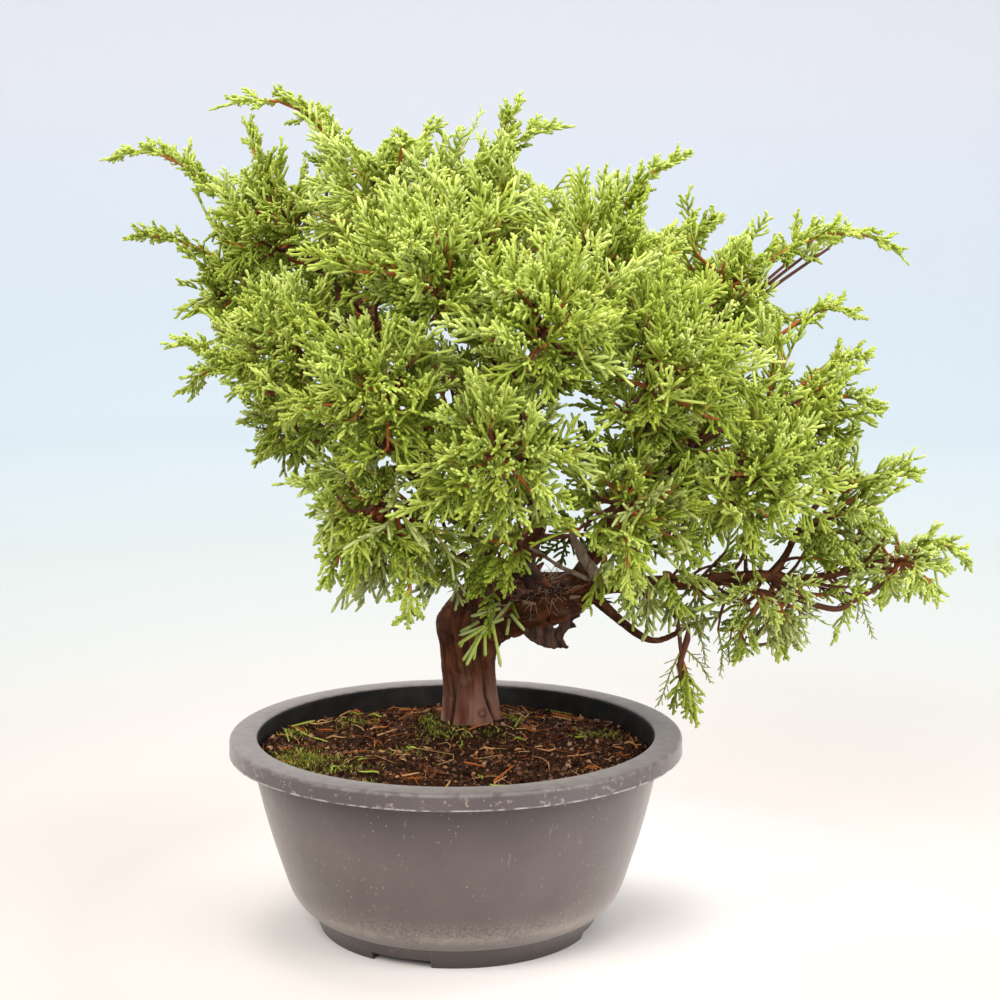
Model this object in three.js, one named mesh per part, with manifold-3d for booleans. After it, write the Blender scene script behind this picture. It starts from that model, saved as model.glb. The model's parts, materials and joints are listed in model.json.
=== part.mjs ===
import * as THREE from 'three';
import { mergeVertices } from 'three/addons/utils/BufferGeometryUtils.js';
import Module from 'manifold-3d';

// A whipcord juniper grown as a small tree in a round training pot.
// Millimetres, Z up. The pot's axis is X = Y = 0 while the parts are worked out, the pot stands on
// Z = 0 and -Y is the front. The whole plant is then centred over the middle of its own plan.

const wasm = await Module();
wasm.setup();

// Driving dimensions

const gap = 0.3;
const pot = {
  height: 78.3, rimRadius: 90, rimBand: 6.3, rimOpening: 78.8, rimRounding: 1.2, underRim: 81.5,
  wall: 2.5, belly: 1.1, floor: 3, recess: 3.7, footRadius: 55, footInside: 49, footHeight: 8, footTop: 57.8,
  shoulderRadius: 67.7, shoulderHeight: 20, shoulderCorner: [64.8, 11.4],
  insideCorner: [61, 12.5], floorRadius: 55, sides: 36,
  notch: 3.3, notchAngles: [-113, -15, 67, 165], notchWidth: 27
};
const soil = {
  bottomRadius: 54.6, lowHeight: 22, highHeight: 68, edgeHeight: 69.8,
  flatRadius: 40, flatHeight: 72.5,
  moundHeight: 76.9, moundBottom: 60, moundFoot: 44, moundTop: 17, moundSides: 20
};
const trunk = {
  foot: [5, 26], ground: 77.2, sides: 10, steps: 14,
  line: [[4.9, 26, 68], [5.2, 26, 90], [4.6, 26, 102], [6.2, 25.4, 115], [13, 23.6, 124.5],
    [25, 21, 128.6], [37, 18, 130], [48, 16, 131.6], [58, 14, 134]],
  radii: [13, 12, 10.7, 10.7, 11.3, 12.5, 12.8, 11.6, 9.6, 8, 6.6, 5]
};
const leaf = {
  thickness: 1.5, twig: 1.1, stem: 1.5, sunk: 2.5, room: 0.6, coreShare: 0.8, openShare: 0.4,
  fanRoot: 0.5, fanLength: 0.78, fanWidth: 0.8, fanTeeth: 3, lean: 1.1,
  shootRoot: 0.46, shootWidth: 0.5, shootTeeth: 4
};
const core = { leastShare: 0.66, roughness: 0.5, cellShare: 0.96, boughRoom: 1.04 };
const spray = { leastReach: 0.92, reachSpread: 0.14, shootRoom: 0.8, outward: 0.1, stemLead: 4 };
const spraysPerMass = 5;
const spraysPerOpenMass = 3;
const directionsTried = 24;
const goldenAngle = Math.PI * (3 - Math.sqrt(5));

// The boughs, from the trunk outward. at is the share of the parent's length where it leaves,
// via the places it bends through, and thick its radius there. Each ends at the mass it carries.

const boughs = {
  top_crest: { from: 'trunk', at: 0.69, thick: 4.6,
    via: [[29, 22, 146], [33, 24, 158], [28, 26, 188], [20, 28, 216]] },
  left_front: { from: 'trunk', at: 0.58, thick: 3.6,
    via: [[6, 12, 159], [-2, 6, 164], [-14, 1, 177], [-34, -6, 203]] },
  right_tip: { from: 'trunk', at: 1, thick: 3.6,
    via: [[76, 8, 136], [97, 2, 138], [121, 0, 140.5], [138, 2, 138.5]] },
  right: { from: 'trunk', at: 0.88, thick: 3.8,
    via: [[55, 11, 146], [70, 1, 161], [80, -7, 178], [95, -8, 195]] },
  hanging: { from: 'trunk', at: 0.93, thick: 2.2, via: [[60, 10, 122], [66, 5, 116.5], [76, 2, 114]] },
  top_mid: { from: 'top_crest', at: 0.76, thick: 2.4 },
  top_left: { from: 'top_crest', at: 0.6, thick: 3, via: [[-12, 38, 222]] },
  front_high: { from: 'top_crest', at: 0.71, thick: 2.4 },
  top_right: { from: 'top_crest', at: 0.62, thick: 2.6 },
  back_top: { from: 'top_crest', at: 0.5, thick: 2.4 },
  front_mid: { from: 'top_crest', at: 0.36, thick: 2.8 },
  back_low: { from: 'top_crest', at: 0.3, thick: 2.4 },
  front_low: { from: 'front_mid', at: 0.4, thick: 2 },
  left_high: { from: 'top_left', at: 0.62, thick: 2 },
  back_left: { from: 'top_left', at: 0.4, thick: 2.2 },
  low_front: { from: 'left_front', at: 0.14, thick: 1.8 },
  front_left: { from: 'left_front', at: 0.5, thick: 2.2 },
  low_left: { from: 'left_front', at: 0.34, thick: 2.2 },
  left_low: { from: 'left_front', at: 0.72, thick: 1.8 },
  right_under: { from: 'right_tip', at: 0.42, thick: 1.8 },
  right_low: { from: 'right_tip', at: 0.6, thick: 2 },
  low_mid: { from: 'right', at: 0.26, thick: 2 },
  back_right: { from: 'right', at: 0.2, thick: 2.6, via: [[78, 36, 196]] },
  front_right: { from: 'right', at: 0.4, thick: 2.4 },
  right_mid: { from: 'right', at: 0.6, thick: 2 },
  right_high: { from: 'right', at: 0.5, thick: 2.2 },
  back_low_right: { from: 'back_right', at: 0.46, thick: 2 }
};

// The foliage masses: heart, reach along X, Y and Z, and the long shoots that stand out of each,
// as azimuth and elevation in degrees and distance from the heart to the tip.

const masses = {
  top_left: { heart: [-73, 45, 275], reach: [34, 34, 25],
    shoots: [[180, 23, 78], [-170, 62, 59], [154, 75, 44], [-42, 70, 57]] },
  left_high: { heart: [-83, 52, 248], reach: [28, 34, 24], shoots: [[174, 24, 60]] },
  left_front: { heart: [-59, -15, 230], reach: [34, 34, 26], shoots: [[180, -2, 52], [-161, -16, 48]] },
  left_low: { heart: [-63, 45, 199], reach: [27, 32, 18], shoots: [] },
  top_mid: { heart: [-23, 5, 286], reach: [36, 36, 25], shoots: [[26, 54, 39], [-86, 30, 44]] },
  top_crest: { heart: [13, 24, 276], reach: [31, 36, 29], shoots: [[-40, 74, 55], [0, 49, 54]] },
  front_high: { heart: [-6, -56, 258], reach: [38, 34, 31], shoots: [[-104, 15, 48], [-165, 5, 48]] },
  front_left: { heart: [-24, -65, 219], reach: [38, 34, 30], shoots: [[-172, -20, 40]] },
  low_left: { heart: [-25, -45, 177], reach: [32, 34, 25], shoots: [[-164, -55, 40], [-58, -74, 48]] },
  front_mid: { heart: [31, -74, 240], reach: [40, 32, 32], shoots: [[-112, 25, 39]] },
  front_low: { heart: [16, -80, 199], reach: [34, 30, 27], shoots: [] },
  top_right: { heart: [55, -2, 262], reach: [38, 38, 28], shoots: [[-15, 50, 59]] },
  right_high: { heart: [105, 26, 250], reach: [32, 36, 26], shoots: [[6, 10, 79], [60, 55, 42]] },
  front_right: { heart: [70, -60, 224], reach: [40, 36, 33], shoots: [[-80, 57, 45]] },
  right: { heart: [131, 0, 208], reach: [31, 36, 30], shoots: [[23, 38, 48], [-8, 24, 38], [-8, -6, 36]] },
  low_mid: { heart: [60, -60, 178], reach: [34, 32, 28], shoots: [[-90, -58, 37]] },
  right_mid: { heart: [106, -40, 185], reach: [34, 34, 29], shoots: [] },
  right_low: { heart: [146, 10, 169], reach: [31, 36, 22], shoots: [[-15, 15, 40]] },
  right_tip: { heart: [177, 15, 144], reach: [23, 28, 13],
    shoots: [[9, -2, 34], [-47, -34, 25]], open: true },
  right_under: { heart: [126, 5, 132], reach: [36, 30, 14],
    shoots: [[-161, -59, 30], [45, -74, 25], [-7, -10, 34]], open: true },
  low_front: { heart: [23, -45, 162], reach: [19, 20, 18], shoots: [[-120, -65, 46]], open: true },
  back_left: { heart: [-42, 92, 243], reach: [42, 36, 34], shoots: [[135, 20, 58], [125, 67, 56]] },
  back_top: { heart: [20, 95, 258], reach: [42, 34, 34], shoots: [[110, 60, 58], [51, 40, 54]] },
  back_right: { heart: [86, 88, 236], reach: [42, 36, 34], shoots: [[52, 16, 62], [70, 47, 56]] },
  back_low: { heart: [0, 84, 198], reach: [40, 36, 28], shoots: [[132, -30, 46]] },
  back_low_right: { heart: [98, 78, 184], reach: [42, 38, 28], shoots: [[50, 6, 60]] },
  hanging: { heart: [89, 0, 100], reach: [13, 13, 15], shoots: [[-153, -53, 15], [34, -69, 17]], open: true }
};
const crownMiddle = new THREE.Vector3(30, 20, 205);

// Dead wood left on the tree, as centre lines and radii.

const deadStub = { line: [[36, 15, 124], [40, 8, 117], [45, 3, 111]], radii: [5.2, 4, 1.4] };
const deadTwigs = [
  { line: [[58, 10, 133], [53, 5, 147], [44, 2, 161]], radii: [2, 1.4, 0.7] },
  { line: [[55.5, 7.5, 140], [46, -1, 146], [32, -10, 152]], radii: [1.6, 1.2, 0.7] }
];

// Seeded numbers, and small vector helpers

const seeded = (seed) => {
  const wave = Math.sin(seed * 12.9898 + 4.1414) * 43758.5453;
  return wave - Math.floor(wave);
};
const point = (xyz) => new THREE.Vector3(xyz[0], xyz[1], xyz[2]);
const radians = THREE.MathUtils.degToRad;
const heading = (azimuth, elevation) => new THREE.Vector3(
  Math.cos(radians(azimuth)) * Math.cos(radians(elevation)),
  Math.sin(radians(azimuth)) * Math.cos(radians(elevation)),
  Math.sin(radians(elevation))
);

// From a geometry to a closed solid, and back

function toSolid(geometry) {
  const bare = geometry.clone();
  bare.deleteAttribute('normal');
  bare.deleteAttribute('uv');
  const merged = mergeVertices(bare, 1e-4);
  const index = merged.index.array;
  const corners = [];
  for (let i = 0; i < index.length; i += 3) {
    const [a, b, c] = [index[i], index[i + 1], index[i + 2]];
    if (a !== b && b !== c && c !== a) corners.push(a, b, c);
  }
  return new wasm.Manifold(new wasm.Mesh({
    numProp: 3,
    vertProperties: new Float32Array(merged.attributes.position.array),
    triVerts: new Uint32Array(corners)
  }));
}

function toGeometry(solid) {
  const mesh = solid.getMesh();
  const geometry = new THREE.BufferGeometry();
  geometry.setAttribute('position', new THREE.BufferAttribute(new Float32Array(mesh.vertProperties), 3));
  geometry.setIndex(new THREE.BufferAttribute(new Uint32Array(mesh.triVerts), 1));
  return geometry;
}

// What a cut leaves, without its loose scraps

function largest(solid) {
  return solid.decompose().reduce((most, piece) => (piece.volume() > most.volume() ? piece : most));
}

// A round body turned about the pot's axis from an outline of radius and height

function turned(outline, sides) {
  const geometry = new THREE.LatheGeometry(outline.map(([r, z]) => new THREE.Vector2(r, z)), sides);
  geometry.rotateX(Math.PI / 2);
  return toSolid(geometry);
}

const bend = (start, control, end, steps) => new THREE.QuadraticBezierCurve(
  new THREE.Vector2(...start), new THREE.Vector2(...control), new THREE.Vector2(...end)
).getPoints(steps).map((p) => [p.x, p.y]);

// Radius of the pot's outer wall from the shoulder up to the rim

function wallRadius(z) {
  const share = (z - pot.shoulderHeight) / (pot.height - pot.rimBand - pot.shoulderHeight);
  const straight = THREE.MathUtils.lerp(pot.shoulderRadius, pot.underRim, share);
  return straight + pot.belly * Math.sin(Math.PI * share);
}

function makePot() {
  const underBand = pot.height - pot.rimBand;
  const inner = (z) => wallRadius(z) - pot.wall;
  const outline = [
    [0, pot.recess],
    [pot.footInside, pot.recess],
    [pot.footInside, 0],
    [pot.footRadius, 0],
    ...bend([pot.footTop, pot.footHeight], pot.shoulderCorner, [pot.shoulderRadius, pot.shoulderHeight], 4),
    ...[1 / 3, 2 / 3].map((share) => THREE.MathUtils.lerp(pot.shoulderHeight, underBand, share))
      .map((z) => [wallRadius(z), z]),
    [pot.underRim, underBand],
    [pot.rimRadius - pot.rimRounding / 2, underBand],
    [pot.rimRadius, underBand + pot.rimRounding / 2],
    [pot.rimRadius, pot.height - pot.rimRounding],
    [pot.rimRadius - pot.rimRounding, pot.height],
    [pot.rimOpening + pot.rimRounding, pot.height],
    [pot.rimOpening, pot.height - pot.rimRounding],
    [inner(soil.highHeight), soil.highHeight],
    [inner(soil.lowHeight), soil.lowHeight],
    pot.insideCorner,
    [pot.floorRadius, pot.recess + pot.floor],
    [0, pot.recess + pot.floor]
  ];
  let body = turned(outline, pot.sides);
  for (const angle of pot.notchAngles) {
    const from = radians(angle - pot.notchWidth / 2);
    const to = radians(angle + pot.notchWidth / 2);
    const margin = pot.footRadius - pot.footInside;
    const shape = new THREE.Shape();
    shape.absarc(0, 0, pot.footInside - margin, from, to, false);
    shape.absarc(0, 0, pot.footRadius + margin, to, from, true);
    const size = { depth: 2 * pot.notch, bevelEnabled: false, curveSegments: 3 };
    const cutter = new THREE.ExtrudeGeometry(shape, size).translate(0, 0, -pot.notch);
    body = body.subtract(toSolid(cutter));
  }
  return body;
}

// Soil that fills the pot, with a low mound up to the trunk

function makeSoil() {
  const side = (z) => wallRadius(z) - pot.wall - gap;
  const bottom = pot.recess + pot.floor + gap;
  const fill = turned([
    [0, bottom],
    [soil.bottomRadius, bottom],
    [side(soil.lowHeight) - gap / 2, soil.lowHeight],
    [side(soil.highHeight), soil.highHeight],
    [side(soil.highHeight), soil.edgeHeight],
    [soil.flatRadius, soil.flatHeight],
    [0, soil.flatHeight]
  ], pot.sides);
  const mound = turned([
    [0, soil.moundBottom],
    [soil.moundFoot, soil.moundBottom],
    [soil.moundFoot, soil.edgeHeight],
    [(soil.moundFoot + soil.moundTop) / 2, (soil.flatHeight + soil.moundHeight) / 2],
    [soil.moundTop, soil.moundHeight],
    [0, soil.moundHeight]
  ], soil.moundSides).translate([trunk.foot[0], trunk.foot[1], 0]);
  return fill.add(mound);
}

// A smooth taper through radii that are evenly spaced along a limb

function tapered(radii) {
  const line = new THREE.SplineCurve(radii.map((r, i) => new THREE.Vector2(i / (radii.length - 1), r)));
  return (share) => line.getPoint(share).y;
}

const curveThrough = (line) => new THREE.CatmullRomCurve3(line, false, 'centripetal');

// A limb: a cylinder whose rings are moved along a curve and scaled to the radius there.
// grow makes the same limb that much bigger all round, to cut a neighbour clear of it.

function limb(curve, radii, sides, steps, grow = 0) {
  const radiusAt = tapered(radii);
  const frames = curve.computeFrenetFrames(steps);
  const geometry = new THREE.CylinderGeometry(1, 1, 1, sides, steps);
  const place = geometry.attributes.position;
  for (let i = 0; i < place.count; i++) {
    const share = THREE.MathUtils.clamp(place.getY(i) + 0.5, 0, 1);
    const step = Math.round(share * steps);
    const radius = radiusAt(share) + grow;
    const end = step === 0 ? -grow : step === steps ? grow : 0;
    const spot = curve.getPointAt(share)
      .addScaledVector(frames.tangents[step], end)
      .addScaledVector(frames.binormals[step], place.getX(i) * radius)
      .addScaledVector(frames.normals[step], place.getZ(i) * radius);
    place.setXYZ(i, spot.x, spot.y, spot.z);
  }
  return toSolid(geometry);
}

// Every limb is noted as points with a radius, which twigs and sprays are kept clear of

const limbPoints = [];
function noteLimb(curve, radii) {
  const count = Math.ceil(curve.getLength() / 2);
  const radiusAt = tapered(radii);
  for (let i = 0; i <= count; i++) {
    limbPoints.push({ spot: curve.getPointAt(i / count), radius: radiusAt(i / count) });
  }
}
const clearOfLimbs = (points, room) => points.every(
  (p) => limbPoints.every((l) => l.spot.distanceToSquared(p) > (l.radius + room) ** 2)
);

// The trunk and the boughs

const curves = {};
const solids = {};
const grown = {};

function makeTrunk() {
  curves.trunk = curveThrough(trunk.line.map(point));
  const depth = 2 * (trunk.ground - trunk.line[0][2]);
  const across = 5 * trunk.radii[0];
  const below = new THREE.BoxGeometry(across, across, depth)
    .translate(...trunk.foot, trunk.ground - depth / 2);
  solids.trunk = limb(curves.trunk, trunk.radii, trunk.sides, trunk.steps).subtract(toSolid(below));
  grown.trunk = limb(curves.trunk, trunk.radii, trunk.sides, trunk.steps, gap);
  noteLimb(curves.trunk, trunk.radii);
}

// How far a mass and its core stand from its heart in a direction

function fullReach(mass, direction) {
  const [x, y, z] = mass.reach;
  return 1 / Math.hypot(direction.x / x, direction.y / y, direction.z / z);
}

function coreReach(mass, direction) {
  return fullReach(mass, direction) * (mass.open ? leaf.openShare : leaf.coreShare);
}

function makeBough(name) {
  const bough = boughs[name];
  const mass = masses[name];
  const heart = point(mass.heart);
  const start = curves[bough.from].getPointAt(bough.at);
  const tangent = curves[bough.from].getTangentAt(bough.at);
  const via = (bough.via ?? []).map(point);
  const arrival = (via.at(-1) ?? start).clone().sub(heart).normalize();
  const tip = heart.clone().addScaledVector(arrival, coreReach(mass, arrival) * core.boughRoom);
  if (via.length === 0) {
    const sweep = tangent.clone().add(new THREE.Vector3(0, 0, 0.5)).multiplyScalar(0.08);
    via.push(start.clone().lerp(tip, 0.5).addScaledVector(sweep, tip.distanceTo(start)));
  }
  curves[name] = curveThrough([start, ...via, tip]);
  const radii = [bough.thick, bough.thick * 0.8, Math.max(bough.thick * 0.6, leaf.stem), leaf.stem];
  const sides = bough.thick > 3 ? 6 : 5;
  const steps = Math.max(3, Math.round(curves[name].getLength() / 20));
  solids[name] = largest(limb(curves[name], radii, sides, steps).subtract(grown[bough.from]));
  grown[name] = limb(curves[name], radii, sides, steps, gap);
  noteLimb(curves[name], radii);
}

// Dead wood, cut clear of the live limbs that carry it

function deadSolid(limbs, sides) {
  const carriers = grown.trunk.add(grown.right).add(grown.right_tip);
  const parts = limbs.map(({ line, radii }) => {
    const curve = curveThrough(line.map(point));
    noteLimb(curve, radii);
    return limb(curve, radii, sides, 4);
  });
  return largest(parts.reduce((whole, part) => whole.add(part)).subtract(carriers));
}

// Planes that part each mass from its neighbours, each pair in proportion to their sizes

function cellOf(name) {
  const heart = point(masses[name].heart);
  const half = (mass, n) => Math.hypot(mass.reach[0] * n.x, mass.reach[1] * n.y, mass.reach[2] * n.z);
  return Object.keys(masses).filter((other) => other !== name).map((other) => {
    const normal = point(masses[other].heart).sub(heart);
    const distance = normal.length();
    normal.normalize();
    const own = half(masses[name], normal);
    const share = own / (own + half(masses[other], normal));
    return { normal, limit: normal.dot(heart) + distance * share - gap };
  });
}
const inCell = (points, cell) => points.every((p) => cell.every((side) => side.normal.dot(p) <= side.limit));
const cellReach = (heart, direction, cell) => cell.reduce((least, side) => {
  const lean = side.normal.dot(direction);
  return lean > 1e-6 ? Math.min(least, (side.limit - side.normal.dot(heart)) / lean) : least;
}, 1000);

// The rough core of a dense mass, kept inside its cell

function coreSolid(mass, cell, seed) {
  const heart = point(mass.heart);
  const geometry = mass.open ? new THREE.OctahedronGeometry(1) : new THREE.IcosahedronGeometry(1, 1);
  geometry.deleteAttribute('normal');
  geometry.deleteAttribute('uv');
  const ball = mergeVertices(geometry, 1e-4);
  const place = ball.attributes.position;
  for (let i = 0; i < place.count; i++) {
    const direction = new THREE.Vector3().fromBufferAttribute(place, i).normalize();
    const rough = core.leastShare + core.roughness * seeded(seed + i);
    const edge = cellReach(heart, direction, cell) * core.cellShare;
    const far = Math.min(coreReach(mass, direction) * rough, edge);
    const spot = heart.clone().addScaledVector(direction, far);
    place.setXYZ(i, spot.x, spot.y, spot.z);
  }
  return toSolid(ball);
}

// A toothed blade that stands for a flat spray: side teeth in turn, and a pointed end

function bladeOutline(length, width, teeth) {
  const root = Math.max(0.6, width * 0.09);
  const outline = [[-root, 0]];
  const left = [];
  for (let i = 0; i < teeth; i++) {
    const side = i % 2 === 0 ? 1 : -1;
    const share = 0.3 + 0.5 * i / teeth;
    const spread = 1 - 0.4 * i / teeth;
    const tooth = [side * width * 0.5 * spread, length * (share + 0.18)];
    const notch = [side * width * 0.16, length * (share + 0.15)];
    if (side > 0) left.push([tooth, notch]);
    else outline.push(tooth, notch);
  }
  outline.push([0, length]);
  for (const [tooth, notch] of left.reverse()) outline.push(notch, tooth);
  outline.push([root, 0]);
  return outline;
}

function blade(root, direction, face, length, width, teeth) {
  const side = new THREE.Vector3().crossVectors(direction, face);
  const outline = bladeOutline(length, width, teeth);
  const shape = new THREE.Shape(outline.map(([x, y]) => new THREE.Vector2(x, y)));
  const geometry = new THREE.ExtrudeGeometry(shape, { depth: leaf.thickness, bevelEnabled: false });
  geometry.translate(0, 0, -leaf.thickness / 2);
  geometry.applyMatrix4(new THREE.Matrix4().makeBasis(side, direction, face).setPosition(root));
  const rim = outline.map(([x, y]) => root.clone().addScaledVector(side, x).addScaledVector(direction, y));
  const points = rim.flatMap((p, i) => [p, p.clone().lerp(rim[(i + 1) % rim.length], 0.5)]);
  for (let i = 1; i < 7; i++) points.push(root.clone().addScaledVector(direction, length * i / 7));
  return { geometry, points };
}

// The part of one direction that is square to another
const squareTo = (vector, axis) => vector.clone().addScaledVector(axis, -vector.dot(axis)).normalize();

// A plain spray: a twig out of the heart with a broad blade that leans up over the core's side.
// A long shoot: a twig with a narrow blade of more teeth straight out to its tip.
// One that would leave the mass's own space or touch a limb is turned or made shorter, or left out.

function makeSpray(heart, direction, cell, far, seed, long) {
  const root = heart.clone().addScaledVector(direction, far * (long ? leaf.shootRoot : leaf.fanRoot));
  const twigEnd = root.clone().addScaledVector(direction, leaf.sunk);
  const twigPoints = [0.4, 0.55, 0.7, 0.85, 1].map((share) => heart.clone().lerp(twigEnd, share));
  if (!clearOfLimbs(twigPoints, leaf.twig + leaf.room)) return null;
  const upward = squareTo(new THREE.Vector3(0, 0.01, 1), direction);
  const whole = far * (long ? 1 - leaf.shootRoot : leaf.fanLength);
  const width = whole * (long ? leaf.shootWidth : leaf.fanWidth);
  const tries = long ? [[1, 0]] : [[1, 0], [1, 1.2], [1, -1.2], [0.8, 0], [0.8, 2.4], [0.65, 0]];
  for (const [shrink, turn] of tries) {
    const roll = (seeded(seed + 1) - 0.5) * 2 + turn;
    const over = upward.clone().applyAxisAngle(direction, roll);
    const way = long ? direction : direction.clone().multiplyScalar(leaf.lean).add(over).normalize();
    const one = blade(root, way, squareTo(long ? over : direction, way), whole * shrink, width * shrink,
      long ? leaf.shootTeeth : leaf.fanTeeth);
    if (inCell(one.points, cell) && clearOfLimbs(one.points, leaf.thickness / 2 + leaf.room)) {
      return [toSolid(one.geometry), limb(curveThrough([heart, twigEnd]), [leaf.twig, leaf.twig], 3, 1)];
    }
  }
  return null;
}

function makeMass(name, order) {
  const mass = masses[name];
  const heart = point(mass.heart);
  const cell = cellOf(name);
  const seed = 100 * (order + 1);
  const bough = curves[name];
  const tip = bough.getPointAt(1);
  const end = bough.getTangentAt(1);
  const stemStart = tip.clone().addScaledVector(end, gap);
  const stemLine = curveThrough([stemStart, stemStart.clone().addScaledVector(end, spray.stemLead), heart]);
  const parts = [limb(stemLine, [leaf.stem, leaf.twig, leaf.twig * 1.3], 4, 2)];
  const outward = heart.clone().sub(crownMiddle).normalize();
  const whole = (direction) => Math.min(fullReach(mass, direction), cellReach(heart, direction, cell));
  mass.shoots.forEach(([azimuth, elevation, length], i) => {
    parts.push(...makeSpray(heart, heading(azimuth, elevation), cell, length, seed + 10 * i, true) ?? []);
  });
  const wanted = (mass.open ? spraysPerOpenMass : spraysPerMass) - mass.shoots.length;
  let count = 0;
  for (let i = 0; i < directionsTried && count < wanted; i++) {
    const direction = new THREE.Vector3().setFromSphericalCoords(
      1, Math.acos(1 - (2 * i + 1) / directionsTried), i * goldenAngle + seeded(seed) * 2 * Math.PI
    ).applyAxisAngle(new THREE.Vector3(1, 0, 0), Math.PI / 2);
    const nearShoot = mass.shoots.some(([a, e]) => heading(a, e).dot(direction) > spray.shootRoom);
    if (nearShoot || (direction.dot(outward) < spray.outward && !mass.open)) continue;
    const far = whole(direction) * (spray.leastReach + spray.reachSpread * seeded(seed + i));
    const made = makeSpray(heart, direction, cell, far, seed + 200 + i, false);
    if (!made) continue;
    parts.push(...made);
    count += 1;
  }
  const sprays = parts.reduce((whole, part) => whole.add(part));
  return largest(sprays.add(coreSolid(mass, cell, seed).subtract(nearLimbs(heart, mass))));
}

// The limbs that pass near a heart, as one cutter

function nearLimbs(heart, mass) {
  const range = Math.max(...mass.reach);
  let cutter = null;
  for (const name of Object.keys(grown)) {
    const box = grown[name].boundingBox();
    const outside = [0, 1, 2].some((k) => box.min[k] > heart.getComponent(k) + range
      || box.max[k] < heart.getComponent(k) - range);
    if (!outside) cutter = cutter ? cutter.add(grown[name]) : grown[name];
  }
  return cutter;
}

// Everything together, centred over the middle of its plan

const finishes = {
  pot: { color: 0x4a4746, roughness: 0.62 },
  soil: { color: 0x3a2a20, roughness: 0.95 },
  bark: { color: 0x6b3b30, roughness: 0.75 },
  deadWood: { color: 0x8a7666, roughness: 0.88 },
  foliage: { color: 0x6f9a2e, roughness: 0.7 }
};

function allPieces() {
  makeTrunk();
  const boughNames = Object.keys(boughs);
  boughNames.forEach(makeBough);
  return [
    ['pot', makePot(), 'pot'],
    ['soil', makeSoil(), 'soil'],
    ['trunk', solids.trunk, 'bark'],
    ...boughNames.map((name) => [`bough_${name}`, solids[name], 'bark']),
    ['dead_stub', deadSolid([deadStub], 7), 'deadWood'],
    ['dead_twigs', deadSolid(deadTwigs, 5), 'deadWood'],
    ...Object.keys(masses).map((name, i) => [`foliage_${name}`, makeMass(name, i), 'foliage'])
  ];
}

const group = new THREE.Group();
const plan = new THREE.Box3();
for (const [name, solid, finish] of allPieces()) {
  const material = new THREE.MeshStandardMaterial({ ...finishes[finish], metalness: 0 });
  const mesh = new THREE.Mesh(toGeometry(solid), material);
  mesh.name = name;
  plan.expandByObject(mesh);
  group.add(mesh);
}
const middle = plan.getCenter(new THREE.Vector3());
for (const mesh of group.children) mesh.position.set(-middle.x, -middle.y, 0);

export default group;
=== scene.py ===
import bpy
import json
import math
import numpy as np
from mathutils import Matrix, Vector, noise
from mathutils.kdtree import KDTree

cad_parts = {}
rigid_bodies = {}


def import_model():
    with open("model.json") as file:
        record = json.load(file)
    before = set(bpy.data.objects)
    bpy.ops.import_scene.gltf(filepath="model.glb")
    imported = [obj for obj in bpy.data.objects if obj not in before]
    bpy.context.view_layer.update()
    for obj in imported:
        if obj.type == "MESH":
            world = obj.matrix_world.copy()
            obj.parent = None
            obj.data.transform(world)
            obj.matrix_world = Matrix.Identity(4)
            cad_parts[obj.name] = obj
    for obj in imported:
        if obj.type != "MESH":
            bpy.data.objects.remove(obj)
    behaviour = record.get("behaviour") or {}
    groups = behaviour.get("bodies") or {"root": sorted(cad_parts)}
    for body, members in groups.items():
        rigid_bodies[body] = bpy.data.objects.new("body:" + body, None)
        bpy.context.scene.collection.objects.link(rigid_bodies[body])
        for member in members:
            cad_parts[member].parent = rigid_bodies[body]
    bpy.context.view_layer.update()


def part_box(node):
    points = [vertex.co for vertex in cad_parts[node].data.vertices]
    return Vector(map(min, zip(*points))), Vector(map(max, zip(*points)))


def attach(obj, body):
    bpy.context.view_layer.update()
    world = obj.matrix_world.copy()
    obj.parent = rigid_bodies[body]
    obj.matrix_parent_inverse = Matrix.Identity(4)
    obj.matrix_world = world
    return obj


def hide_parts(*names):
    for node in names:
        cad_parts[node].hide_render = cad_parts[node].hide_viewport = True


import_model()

# A small juniper in a round training pot. Its own sizes are in millimetres about the pot's axis,
# with -Y in front, as the parts were drawn. inPlace turns them into metres in the frame.
potLow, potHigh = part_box("pot")
potAxis = ((potLow + potHigh) / 2).xy
mm = 0.001


def inPlace(points):
    return np.asarray(points, float) * mm + np.array([potAxis.x, potAxis.y, 0])


# Camera and light

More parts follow.
